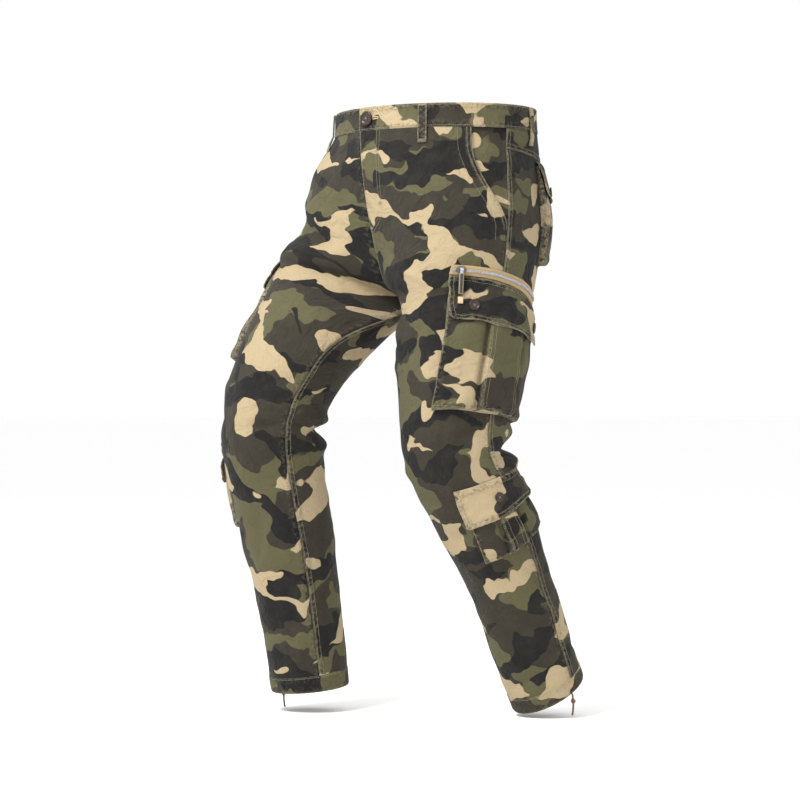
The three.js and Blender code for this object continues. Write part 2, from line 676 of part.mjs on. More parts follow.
function pullStrap(frame) {
  const h = HINGE_HEIGHT;
  const t = STRAP.thickness / 2;
  const slot = PULL.thickness / 2 + SEAM_GAP;
  const outline = [
    [h - slot - 1, STRAP.top], [h - slot, STRAP.top], [h - slot, STRAP.top - STRAP.notch],
    [h + slot, STRAP.top - STRAP.notch], [h + slot, STRAP.top], [h + slot + 1, STRAP.top],
    [h + slot + 1, STRAP.top - 6], [h + t + 0.7, -24], [h + t + 1.6, -34], [h + t + 3.4, STRAP.bottom],
    [h - t + 3.4, STRAP.bottom], [h - t + 1.6, -34], [h - t + 0.7, -24], [h - slot - 1, STRAP.top - 6],
  ];
  return placed(plate(outline, STRAP.width).rotateY(-Math.PI / 2), frame);
}

function pullTip(frame) {
  const h = HINGE_HEIGHT + 3.4;
  const top = STRAP.bottom - SEAM_GAP;
  const outline = [
    [h - 1.7, top], [h + 1.7, top], [h + 2.6, top - 5], [h + 2.9, top - 9.5],
    [h + 1.9, top - 10.5], [h + 0.2, top - 10.2], [h - 0.8, top - 5],
  ];
  return placed(plate(outline, 8).rotateY(-Math.PI / 2), frame);
}

// A rod along a path of points, with a radius at each. The drawcord's knot is a thick stretch of it.
function rod(path, radii, sides) {
  const curve = new THREE.CatmullRomCurve3(path);
  const last = path.length - 1;
  const frames = curve.computeFrenetFrames(last, false);
  const ring = (i, k) => {
    const turn = (k / sides) * 2 * Math.PI;
    return path[i].clone()
      .addScaledVector(frames.normals[i], radii[i] * Math.cos(turn))
      .addScaledVector(frames.binormals[i], radii[i] * Math.sin(turn));
  };
  const points = [path[0], path[last]];
  for (let i = 0; i <= last; i += 1) {
    for (let k = 0; k < sides; k += 1) points.push(ring(i, k));
  }
  const at = (i, k) => 2 + i * sides + (k % sides);
  const triangles = [];
  for (let k = 0; k < sides; k += 1) {
    triangles.push(0, at(0, k + 1), at(0, k), 1, at(last, k), at(last, k + 1));
    for (let i = 0; i < last; i += 1) {
      triangles.push(at(i, k), at(i, k + 1), at(i + 1, k + 1), at(i, k), at(i + 1, k + 1), at(i + 1, k));
    }
  }
  return closed(points, triangles);
}

// Hem and drawcord
const CORD_RADIUS = 1.5;
const CORD_GAP = 1.1;
const CORD_DROP = 34;
const CORDS = { left: { phi: 86, sway: 2 }, right: { phi: 64, sway: -2 } };

function hem(side) {
  const columns = 24;
  const rows = 1;
  const place = (i, j, lift) => {
    const down = mix(HEM_DOWN - HEM_HEIGHT, HEM_DOWN, j / rows);
    return lifted(side, -90 + (360 * i) / columns, down, lift);
  };
  return wall(columns, rows, (i, j) => place(i, j, 0.3), (i, j) => place(i, j, -2.7), true);
}

function drawcord(side) {
  const { phi, sway } = CORDS[side];
  const top = lifted(side, phi, HEM_DOWN, -1.2);
  const shape = [
    { drop: 0, radius: 1 },
    { drop: 4, radius: 1 },
    { drop: 7.5, radius: 1 },
    { drop: 9, radius: 2 },
    { drop: 11.5, radius: 2.7 },
    { drop: 14, radius: 2 },
    { drop: 15.5, radius: 1 },
    { drop: 20, radius: 1 },
    { drop: 26, radius: 1 },
    { drop: 31, radius: 1 },
    { drop: CORD_DROP, radius: 0.8 },
  ];
  const path = shape.map(({ drop }) => {
    const lean = sway * Math.sin((drop / CORD_DROP) * Math.PI);
    return new THREE.Vector3(top.x, top.y + lean, top.z - CORD_GAP - drop);
  });
  return rod(path, shape.map(({ radius }) => radius * CORD_RADIUS), 8);
}

// Waistband: one long strip from the left end round the back to the right end, which passes under
const BAND_LIFT = 1;
const BAND_START = -4;
const BAND_UNDERLAP = 35;

// turn runs round the waist in degrees, from the front through the left side
function bandPoint(turn, down, lift) {
  const width = along(CUT, "width", down);
  const depth = along(CUT, "depth", down);
  const sin = Math.sin(turn * RADIANS);
  const cos = Math.cos(turn * RADIANS);
  const out = new THREE.Vector3(sin / width, -cos / depth, 0).normalize();
  return new THREE.Vector3(width * sin, -depth * cos, -down).addScaledVector(out, lift);
}

function waistband() {
  const columns = 48;
  const degree = (x) => Math.asin(x / CUT[0].width) / RADIANS;
  const start = degree(BAND_START);
  const stepFrom = 360 + degree(-22);
  const stepTo = 360 + degree(-6);
  const end = 360 + degree(BAND_UNDERLAP);
  const turns = [];
  for (let i = 0; i <= columns - 6; i += 1) turns.push(mix(start, stepFrom, i / (columns - 6)));
  for (let i = 1; i <= 4; i += 1) turns.push(mix(stepFrom, stepTo, i / 4));
  turns.push((stepTo + end) / 2, end);
  const rows = [0, BAND_HEIGHT];
  const place = (i, j, lift) => {
    const under = (BAND_CLOTH + SEAM_GAP) * smooth(stepFrom, stepTo, turns[i]);
    return bandPoint(turns[i], rows[j], lift - under);
  };
  return wall(
    columns, rows.length - 1, (i, j) => place(i, j, BAND_LIFT), (i, j) => place(i, j, BAND_LIFT - BAND_CLOTH),
  );
}

// Belt loops: strips sewn down at both ends, with room for a thin belt's edge in between
const LOOP_WIDTH = 14;
const LOOP_TURNS = { front_left: 40, side_left: 114, back: 180, side_right: 246, front_right: 320 };
const LOOP_LIFTS = [
  { down: 0.6, lift: 1.4 },
  { down: 4, lift: 3.8 },
  { down: 18, lift: 4.2 },
  { down: 36, lift: 4 },
  { down: 50, lift: 3 },
  { down: 56, lift: 1 },
  { down: 61, lift: 0.7 },
];

function beltLoop(turn) {
  const columns = 2;
  const middle = turn === 180;
  const side = turn <= 180 ? "left" : "right";
  const phi = turn <= 180 ? turn : 360 - turn;
  const place = (i, j, thickness) => {
    const { down, lift } = LOOP_LIFTS[j];
    const half = (LOOP_WIDTH / 2) * (i - 1);
    const offset = half / tubeRadius(down) / RADIANS;
    const which = middle && i === 2 ? "right" : side;
    const angle = middle ? 180 - Math.abs(offset) : phi + offset;
    const base = down <= BAND_HEIGHT
      ? bandPoint(which === "left" ? angle : 360 - angle, down, lift + thickness)
      : lifted(which, angle, down, lift + thickness);
    return base;
  };
  return wall(columns, LOOP_LIFTS.length - 1, (i, j) => place(i, j, 1.8), (i, j) => place(i, j, 0));
}

for (const side of ["left", "right"]) {
  add(`front_${side}`, frontPanel(side), TWILL);
  add(`back_${side}`, backPanel(side), TWILL);
  add(`yoke_${side}`, backYoke(side), TWILL);
  add(`pocket_facing_${side}`, pocketFacing(side), TWILL);
  add(`hem_${side}`, hem(side), TWILL);
  add(`drawcord_${side}`, drawcord(side), CORD);

  add(`back_pocket_${side}`, pouch(side, BACK_POUCH, BACK_PROFILE, BACK_RISES), TWILL);
  add(`back_flap_${side}`, flap(side, BACK_FLAP, 7, BACK_FLAP_LIFTS), TWILL);
  add(`back_button_${side}`, button(8, patchFrame(side, BACK_FLAP, 0.5, 0.72, 16.4)), BUTTON);

  add(`cargo_pocket_${side}`, pouch(side, CARGO_POUCH, CARGO_PROFILE, CARGO_RISES), TWILL);
  add(`cargo_flap_${side}`, flap(side, CARGO_FLAP, 12, CARGO_FLAP_LIFTS), TWILL);
  add(`cargo_button_front_${side}`, button(8.5, patchFrame(side, CARGO_FLAP, 0.2, 0.66, 14)), BUTTON);
  add(`cargo_button_back_${side}`, button(8.5, patchFrame(side, CARGO_FLAP, 0.86, 0.66, 14)), BUTTON);
  add(`zip_tape_${side}`, zipStrip(side, 0, 1, ZIP_GAP, 1.1), ZIP_TAPE);
  add(`zip_teeth_${side}`, zipStrip(side, 0.36, 0.64, 2.35, 1.5), ZIP_METAL);
  const slider = patchFrame(side, CARGO_ZIP, SLIDER.across, 0.5, 4);
  add(`zip_slider_${side}`, sliderBody(slider), ZIP_METAL);
  add(`zip_bridge_${side}`, sliderBridge(slider), ZIP_METAL);
  add(`pull_tab_${side}`, pullTab(slider), ZIP_METAL);
  add(`pull_strap_${side}`, pullStrap(slider), TWILL);
  add(`pull_tip_${side}`, pullTip(slider), ZIP_TAPE);

  add(`calf_pocket_${side}`, pouch(side, CALF_POUCH, CALF_PROFILE, CALF_RISES), TWILL);
  add(`calf_flap_${side}`, flap(side, CALF_FLAP, 9, CALF_FLAP_LIFTS), TWILL);
  add(`calf_button_${side}`, button(8, patchFrame(side, CALF_FLAP, 0.48, 0.5, 10)), BUTTON);
}
add("waistband", waistband(), TWILL);
for (const [name, turn] of Object.entries(LOOP_TURNS)) add(`belt_loop_${name}`, beltLoop(turn), TWILL);
add("waist_button", button(11.2, waistButtonFrame()), BUTTON);

function waistButtonFrame() {
  const origin = bandPoint(6, 18, BAND_LIFT + 0.7);
  const z = bandPoint(6, 18, 10).sub(bandPoint(6, 18, 0)).normalize();
  const y = new THREE.Vector3(0, 0, 1);
  const x = y.clone().cross(z);
  return new THREE.Matrix4().makeBasis(x, y, z).setPosition(origin);
}

export default trousers;
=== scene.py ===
# Cargo trousers in a woodland print: the cloth, sewing, buttons and zips that show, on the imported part.
# Tables are in millimetres and degrees, and follow the rules that the part's own solids follow.
# "down" is the distance below the waist's top edge along a leg, and "phi" runs round a leg:
# 0 at the front, 90 at the outer side seam and 180 at the back. A point's "lift" is off the cloth.
import math
import re

import bmesh
import bpy
import numpy as np
from mathutils import Matrix, Vector
from mathutils.bvhtree import BVHTree


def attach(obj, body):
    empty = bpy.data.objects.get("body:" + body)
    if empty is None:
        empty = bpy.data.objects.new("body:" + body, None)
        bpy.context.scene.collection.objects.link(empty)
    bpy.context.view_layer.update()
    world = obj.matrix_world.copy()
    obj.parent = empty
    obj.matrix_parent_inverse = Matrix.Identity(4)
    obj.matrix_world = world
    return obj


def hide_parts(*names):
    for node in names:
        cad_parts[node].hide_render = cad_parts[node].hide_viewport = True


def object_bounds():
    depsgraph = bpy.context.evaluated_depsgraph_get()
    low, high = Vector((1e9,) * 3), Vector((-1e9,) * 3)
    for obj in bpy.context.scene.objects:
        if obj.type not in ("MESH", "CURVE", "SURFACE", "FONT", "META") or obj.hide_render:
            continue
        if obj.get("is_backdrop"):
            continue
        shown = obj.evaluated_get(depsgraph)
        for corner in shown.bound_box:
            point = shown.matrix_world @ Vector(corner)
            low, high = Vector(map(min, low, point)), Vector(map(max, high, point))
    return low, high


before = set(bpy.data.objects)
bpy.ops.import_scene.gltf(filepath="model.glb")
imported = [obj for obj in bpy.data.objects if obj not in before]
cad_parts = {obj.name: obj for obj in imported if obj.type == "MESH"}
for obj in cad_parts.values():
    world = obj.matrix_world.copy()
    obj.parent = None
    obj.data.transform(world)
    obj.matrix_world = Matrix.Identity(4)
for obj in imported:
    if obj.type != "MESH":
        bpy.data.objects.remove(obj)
cad_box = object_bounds()

MM = 0.001
RADIANS = math.pi / 180
SIDES = {"left": 1.0, "right": -1.0}


def table(columns, *rows):
    """A table with named columns, kept as one array for each column."""
    return dict(zip(columns.split(), np.array(rows, float).T))


def named_rows(columns, *rows):
    """A table whose rows have names: the first cell of each row is its name."""
    names = columns.split()
    return {row[0]: dict(zip(names, row[1:])) for row in rows}


# Camera: a long lens at the height of the trousers' middle, level, 54 degrees round from the front
CAMERA = {"azimuth": 54, "distance": 4.5, "height": -0.4548, "aside": -0.0563, "lens": 127.575}


def place_camera():
    turn = math.radians(CAMERA["azimuth"])
    right = Vector((math.cos(turn), math.sin(turn), 0))
    back = Vector((math.sin(turn), -math.cos(turn), 0))
    data = bpy.data.cameras.new("camera")
    data.lens = CAMERA["lens"]
    data.sensor_width = 36
    data.clip_end = 300
    camera = bpy.data.objects.new("camera", data)
    camera.location = back * CAMERA["distance"] + right * CAMERA["aside"] + Vector((0, 0, CAMERA["height"]))
    camera.rotation_euler = (math.pi / 2, 0, turn)
    bpy.context.scene.collection.objects.link(camera)
    bpy.context.scene.camera = camera


place_camera()

# The cut: half sizes of one leg's tube
CUT = table(
    "down width depth",
    (0, 181, 144),
    (37, 183, 146),
    (110, 187, 152),
    (180, 176, 150),
    (240, 144, 138),
    (300, 98, 114),
    (370, 96, 102),
    (440, 89, 93),
    (530, 80, 82),
    (590, 78, 79),
    (650, 75, 75),
    (740, 68, 69),
    (840, 63, 64),
    (962, 60, 62),
)

# Centre and tilt of each section, and how flat it is pressed from front to back
POSE = {
    "left": table(
        "down x y z pitch roll yaw squash",
        (0, 0, 0, 0, 0, 0, 0, 1),
        (37, 0, 0, -37, 0, 0, 0, 1),
        (110, 4, -6, -109, 0, 0, 0, 1),
        (180, 20, -8, -179, 1, 0, 0, 1),
        (240, 52, -14, -240, 2, 1, 0, 1),
        (300, 98, -22, -300, 5, 2, 0, 1),
        (370, 105, -32, -368, 8, 3, 1, 1),
        (440, 113, -43, -437, 8, 4, 2, 1),
        (530, 120, -52, -523, -4, 4, 3, 1),
        (590, 123, -32, -577, -18, 4, 4, 1),
        (650, 126, -5, -631, -25, 4, 5, 0.96),
        (740, 130, 35, -710, -25, 4, 5, 0.95),
        (840, 135, 72, -803, -22, 4, 5, 0.96),
        (962, 141, 115, -913, -30, 5, 5, 1),
    ),
    "right": table(
        "down x y z pitch roll yaw squash",
        (0, 0, 0, 0, 0, 0, 0, 1),
        (37, 0, 0, -37, 0, 0, 0, 1),
        (110, -4, -36, -106, 6, 0, 0, 1),
        (180, -20, -64, -172, 12, 0, 2, 1),
        (240, -54, -92, -230, 20, 1, 5, 0.97),
        (300, -102, -120, -285, 28, 2, 8, 0.94),
        (370, -106, -156, -337, 34, 3, 11, 0.91),
        (440, -111, -194, -391, 30, 3, 14, 0.93),
        (530, -117, -229, -464, 14, 3, 16, 0.97),
        (590, -120, -232, -517, 0, 3, 17, 1.02),
        (650, -124, -219, -580, -12, 3, 17, 1.04),
        (740, -129, -193, -674, -16, 3, 17, 1.05),
        (840, -134, -169, -778, -14, 3, 17, 1.04),
        (962, -140, -145, -913, -6, 2, 17, 1),
    ),
}

# The rise seam between the legs, front and back
RISE = table(
    "down front_y front_z back_y back_z",
    (0, -144, 0, 144, 0),
    (37, -146, -37, 147, -37),
    (110, -140, -109, 158, -109),
    (180, -127, -179, 158, -179),
    (240, -111, -239, 122, -240),
    (275, -90, -277, 52, -285),
    (300, -34, -303, -34, -303),
)

# Creases: ridges (height above 0) and troughs (below 0) along a line on the cloth.
# turn is the line's slope: 0 runs round the leg, positive falls towards the back.
# The first rows of each leg are the large folds that the solids have too.
CREASES = {
    "left": table(
        "phi down turn length width height",
        (150, 545, -8, 150, 13, -15),
        (140, 518, 4, 130, 15, 7),
        (150, 578, -6, 110, 15, 7),
        (60, 524, -24, 130, 12, -4),
        (-20, 342, 38, 120, 14, -5),
        (172, 506, -14, 96, 7, -4),
        (118, 562, 12, 104, 8, -4),
        (104, 590, -12, 88, 8, 3),
        (178, 622, -8, 84, 8, -3.5),
        (92, 478, 22, 92, 9, -2.6),
        (12, 246, 40, 112, 9, -3.2),
        (24, 276, 34, 124, 10, 3),
        (-42, 372, 28, 92, 9, -3.4),
        (-50, 410, 24, 84, 10, 2.6),
        (64, 226, -18, 108, 12, 2.4),
        (206, 428, -12, 118, 10, -3.6),
        (214, 474, 14, 96, 9, 3),
        (84, 770, 74, 132, 11, -3),
        (98, 846, 80, 164, 12, 2.8),
        (134, 764, 84, 146, 11, -3.2),
        (58, 886, 70, 108, 10, -2.8),
        (16, 652, -24, 92, 10, -3),
        (2, 604, 20, 112, 10, -3.2),
        (-34, 560, 12, 98, 9, 2.8),
        (160, 342, 8, 134, 12, -4.2),
        (168, 372, 2, 118, 13, 3.4),
        (126, 306, 16, 92, 9, -2.6),
        (214, 700, 66, 124, 11, -3),
        (232, 820, 78, 138, 11, 2.6),
        (150, 902, 12, 96, 9, -2.6),
        (20, 914, -14, 84, 8, -2.4),
        (28, 148, 62, 92, 12, 2.4),
        (150, 190, 30, 110, 14, -2.6),
    ),
    "right": table(
        "phi down turn length width height",
        (58, 104, 70, 190, 45, 13),
        (38, 176, -22, 210, 22, 9),
        (26, 218, -26, 220, 20, -8),
        (205, 568, 6, 160, 13, -15),
        (212, 533, -6, 150, 16, 8),
        (205, 600, 12, 140, 15, 8),
        (10, 560, 24, 130, 13, -4),
        (-28, 276, -42, 98, 8, -3.6),
        (-8, 250, -36, 116, 9, 3.2),
        (6, 236, -30, 96, 7, -2.8),
        (-44, 318, -30, 92, 9, 3),
        (-52, 352, -20, 104, 9, -3.6),
        (30, 300, -18, 118, 11, -2.8),
        (-30, 424, 22, 96, 10, 2.6),
        (-58, 498, 14, 106, 9, -4),
        (-70, 534, -8, 118, 9, 3.6),
        (-64, 566, 10, 112, 8, -4),
        (-54, 604, -14, 94, 9, 3),
        (28, 516, -20, 84, 9, 2.4),
        (34, 612, 16, 104, 10, -3),
        (-40, 712, 74, 126, 11, -3),
        (-24, 806, 82, 152, 12, 2.8),
        (-62, 846, 78, 124, 10, -2.8),
        (12, 736, 68, 118, 11, 2.6),
        (30, 872, 74, 116, 10, -2.6),
        (-20, 914, 10, 96, 8, -2.6),
        (176, 352, -6, 126, 12, -4),
        (166, 392, 8, 112, 12, 3.2),
        (120, 470, -14, 98, 9, -2.8),
        (196, 662, 70, 118, 10, -3),
        (150, 780, 80, 136, 11, 2.6),
        (110, 880, 14, 92, 9, -2.6),
        (146, 184, 26, 104, 14, -2.4),
    ),
}

LARGE_FOLDS = {"left": 5, "right": 7}
SMALL_FOLD_DEPTH = 1.45

# Cloth, heights and gaps, as in the solids
CLOTH = 1.2
SEAM_GAP = 0.04
SEWN_GAP = 0.85
MIDDLE_GAP = 0.01
BAND_HEIGHT = 37
CROTCH_DOWN = 300
HEM_DOWN = 962
HEM_HEIGHT = 24
YOKE_AT_SIDE = 69
YOKE_AT_BACK = 98
MOUTH_END = 192
FLY_END = 195
WIDEST_REACH = 62
INSEAM_SETTLED = 385


def mix(a, b, t):
    return a + (b - a) * t


def smooth(start, end, value):
    t = np.clip((value - start) / (end - start), 0, 1)
    return t * t * (3 - 2 * t)


def along(rows, column, at, key="down"):
    """A smooth curve through one column of a table."""
    x, y = rows[key], rows[column]
    last = len(x) - 1
    k = np.arange(last + 1)
    low, high = np.maximum(k - 1, 0), np.minimum(k + 1, last)
    slope = (y[high] - y[low]) / (x[high] - x[low])
    i = np.clip(np.searchsorted(x, at) - 1, 0, last - 1)
    span = x[i + 1] - x[i]
    t = np.clip((at - x[i]) / span, 0, 1)
    rise = y[i] * (2 * t**3 - 3 * t**2 + 1) + y[i + 1] * (3 * t**2 - 2 * t**3)
    return rise + slope[i] * span * (t**3 - 2 * t**2 + t) + slope[i + 1] * span * (t**3 - t**2)


def hills(x, y, seed):
    """Smooth random hills, from -1 to 1, about one unit apart."""
    heights = np.random.default_rng(seed).uniform(-1, 1, (64, 64))
    x, y = np.broadcast_arrays(np.asarray(x, float), np.asarray(y, float))
    i, j = np.floor(x).astype(int), np.floor(y).astype(int)
    s, t = smooth(0, 1, x - i), smooth(0, 1, y - j)
    at = lambda a, b: heights[a % 64, b % 64]
    return mix(mix(at(i, j), at(i + 1, j), s), mix(at(i, j + 1), at(i + 1, j + 1), s), t)


def tube_radius(down):
    return (along(CUT, "width", down) + along(CUT, "depth", down)) / 2


def inner_phi(side, down):
    """Where the cloth's inner edge leaves the section, before it is drawn to the seam."""
    reach = np.abs(along(POSE[side], "x", down))
    half = along(CUT, "width", down) / along(POSE[side], "squash", down)
    above = np.minimum(WIDEST_REACH, np.degrees(np.arcsin(np.clip(reach / half, 0, 1))))
    below = mix(WIDEST_REACH, 90, smooth(CROTCH_DOWN, INSEAM_SETTLED, down))
    return -np.where(down > CROTCH_DOWN, below, above)


def crease_lift(side, phi, down):
    """How far creases and the cloth's own unevenness lift or sink it."""
    radius = tube_radius(down)
    rows = CREASES[side]
    lift = 0
    for k in range(len(rows["phi"])):
        across = (phi - rows["phi"][k]) * RADIANS * radius
        below = down - rows["down"][k]
        turn = rows["turn"][k] * RADIANS
        run = (across * math.cos(turn) + below * math.sin(turn)) / (rows["length"][k] / 2)
        off = (below * math.cos(turn) - across * math.sin(turn)) / rows["width"][k]
        height = rows["height"][k] * (1 if k < LARGE_FOLDS[side] else SMALL_FOLD_DEPTH)
        lift = lift + height * np.clip(1 - run * run, 0, 1) ** 2 * np.exp(-off * off)
    around = phi * RADIANS * radius
    seed = 3 if side == "left" else 8
    uneven = 2.3 * hills(around / 46, down / 58, seed) + 1.1 * hills(around / 19, down / 23, seed + 1)
    near_seam = smooth(112, 140, np.abs(phi - 90)) * np.exp(-(((down - CROTCH_DOWN) / 55) ** 2))
    lift = lift + uneven * smooth(HEM_DOWN - 8, HEM_DOWN - 60, down) * smooth(20, 70, down)
    return lift * (1 - near_seam)


def turned(points, axis, degrees):
    """Points turned about the X, Y or Z axis by their own angles."""
    a, b = [(1, 2), (2, 0), (0, 1)][axis]
    cos, sin = np.cos(degrees * RADIANS), np.sin(degrees * RADIANS)
    made = points.copy()
    made[..., a] = points[..., a] * cos - points[..., b] * sin
    made[..., b] = points[..., a] * sin + points[..., b] * cos
    return made


def ring_point(side, phi, down):
    """A point of one section's ring, before the rise seam draws the inner edge to the middle."""
    phi, down = np.broadcast_arrays(np.asarray(phi, float), np.asarray(down, float))
    s = SIDES[side]
    pose = {c: along(POSE[side], c, down) for c in ("x", "y", "z", "pitch", "roll", "yaw", "squash")}
    lift = crease_lift(side, phi, down)
    wide = along(CUT, "width", down) / pose["squash"] + lift
    deep = along(CUT, "depth", down) * pose["squash"] + lift
    point = np.stack([s * wide * np.sin(phi * RADIANS), -deep * np.cos(phi * RADIANS), 0 * phi], -1)
    point = turned(point, 0, -pose["pitch"])
    point = turned(point, 1, -s * pose["roll"])
    point = turned(point, 2, s * pose["yaw"])
    return point + np.stack([pose["x"], pose["y"], pose["z"]], -1)


def rise_point(end, down):
    down = np.minimum(down, CROTCH_DOWN)
    return np.stack([0 * down, along(RISE, end + "_y", down), along(RISE, end + "_z", down)], -1)


def fade_below_crotch(down):
    return np.exp(-((np.maximum(down - CROTCH_DOWN, 0) / 60) ** 2))[..., None]


def inner_seam(side, end, down):
    """The seam on the leg's inner side: the rise down to the crotch, then the inseam."""
    seam = rise_point(end, down)
    drawn = seam - ring_point(side, -90, np.full(down.shape, float(CROTCH_DOWN)))
    below = ring_point(side, -90, down) + drawn * fade_below_crotch(down)
    return np.where((down > CROTCH_DOWN)[..., None], below, seam)


def seam_share(side, phi, down):
    """0 at the inner seam and 1 at the side seam."""
    edge = np.where(phi < 90, inner_phi(side, down), 180 - inner_phi(side, down))
    return edge, np.clip((phi - edge) / (90 - edge), 0, 1)


def kept_to_side(side, point, down):
    s = SIDES[side]
    held = s * np.maximum(s * point[..., 0], MIDDLE_GAP)
    point[..., 0] = np.where(down <= CROTCH_DOWN, held, point[..., 0])
    return point


def cloth_point(side, phi, down):
    """A point of the cloth's outer face."""
    phi, down = np.broadcast_arrays(np.asarray(phi, float), np.asarray(down, float))
    point = ring_point(side, phi, down)
    edge, share = seam_share(side, phi, down)
    seam = np.where((phi < 90)[..., None], inner_seam(side, "front", down), inner_seam(side, "back", down))
    pull = (1 - share) ** (2 + 2 * smooth(215, 285, down))
    point = point + (seam - ring_point(side, edge, down)) * pull[..., None]
    return kept_to_side(side, point, down)


def unit(vectors):
    return vectors / np.maximum(np.linalg.norm(vectors, axis=-1, keepdims=True), 1e-9)


def cloth_normal(side, phi, down):
    edge = inner_phi(side, down)
    step = 2
    a = cloth_point(side, np.maximum(phi - step, edge), down)
    b = cloth_point(side, np.minimum(phi + step, 180 - edge), down)
    c = cloth_point(side, phi, np.maximum(down - step, 0))
    d = cloth_point(side, phi, np.minimum(down + step, HEM_DOWN))
    return unit(np.cross(b - a, d - c)) * -SIDES[side]


def seam_normal(side, end, down):
    """The outward direction at the inner seam, the same for the panels on both sides of it."""
    inward = unit(ring_point(side, -90, down) - ring_point(side, 90, down))
    low = np.array([0.0, 0.0, -1.0])
    below = unit(mix(inward, low, fade_below_crotch(down)))
    slope = rise_point(end, np.minimum(down + 3, CROTCH_DOWN)) - rise_point(end, np.maximum(down - 3, 0))
    sign = 1 if end == "front" else -1
    above = unit(np.stack([0 * down, sign * slope[..., 2], -sign * slope[..., 1]], -1))
    above = unit(mix(above, low, smooth(CROTCH_DOWN - 30, CROTCH_DOWN, down)[..., None]))
    return np.where((down > CROTCH_DOWN)[..., None], below, above)


def surface(side, phi, down):
    """Points of the cloth's outer face and the directions in which layers are lifted off it."""
    phi, down = np.broadcast_arrays(np.asarray(phi, float), np.asarray(down, float))
    edge, share = seam_share(side, phi, down)
    at_seam = np.where(
        (phi < 90)[..., None], seam_normal(side, "front", down), seam_normal(side, "back", down)
    )
    facing = cloth_normal(side, phi, down)
    normal = unit(mix(at_seam, facing, smooth(0, 0.22, share)[..., None]))
    turned_in = np.maximum(0.6 - (normal * facing).sum(-1), 0) * smooth(0, 0.06, share)
    normal = unit(normal + facing * turned_in[..., None] * 1.6)
    return cloth_point(side, phi, down), normal


def layer(side, base, down, lift):
    """A layer of cloth at a lift off the surface, kept on its own side above the crotch."""
    point, normal = base
    return kept_to_side(side, point + normal * np.asarray(lift)[..., None], np.broadcast_to(down, point.shape[:-1]))


def packed(count, ends=0.75):
    """Shares from 0 to 1 that stand closer together towards both ends."""
    t = np.linspace(0, 1, count)
    return mix(t, smooth(0, 1, t), ends)


# Materials
TAN = (0.385, 0.302, 0.182, 1)
OLIVE = (0.090, 0.083, 0.042, 1)
BROWN = (0.034, 0.0295, 0.0215, 1)
BLACK = (0.0125, 0.0122, 0.0116, 1)
WORN = (0.30, 0.26, 0.175, 1)


def new_node(tree, kind, inputs=None, **settings):
    made = tree.nodes.new(kind)
    for key, value in settings.items():
        setattr(made, key, value)
    for key, value in (inputs or {}).items():
        if isinstance(value, bpy.types.NodeSocket):
            tree.links.new(value, made.inputs[key])
        else:
            made.inputs[key].default_value = value
    return made


def new_material(name, **shader):
    """A material with its shader's plain values set on the shader's own sockets."""
    made = bpy.data.materials.new(name)
    made.use_nodes = True
    principled = made.node_tree.nodes["Principled BSDF"]
    for key, value in shader.items():
        principled.inputs[key.replace("_", " ")].default_value = value
    return made, made.node_tree, principled


def sum_of(tree, a, b, operation="ADD"):
    return new_node(tree, "ShaderNodeMath", {0: a, 1: b}, operation=operation).outputs[0]


def blended(tree, share, under, over):
    made = new_node(tree, "ShaderNodeMix", {0: share, 6: under, 7: over}, data_type="RGBA")
    return made.outputs[2]


def attribute(tree, name):
    return new_node(tree, "ShaderNodeAttribute", attribute_name=name).outputs["Fac"]




def print_patches(tree, place, size, tilt, shift, share, edge=0.004):
    """One colour's patches: 1 inside them, with crisp edges. share is how much they cover."""
    laid = new_node(tree, "ShaderNodeMapping", {
        "Vector": place, "Location": shift, "Rotation": (0, 0, math.radians(tilt)), "Scale": (*size, 1),
    }, vector_type="TEXTURE").outputs[0]
    field = new_node(tree, "ShaderNodeTexNoise", {
        "Vector": laid, "Scale": 1.0, "Detail": 1.6, "Roughness": 0.4, "Distortion": 0.35,
    }, noise_dimensions="2D").outputs[0]
    return new_node(tree, "ShaderNodeMapRange", {
        "Value": field, "From Min": share - edge, "From Max": share + edge,
    }, interpolation_type="SMOOTHSTEP").outputs[0]


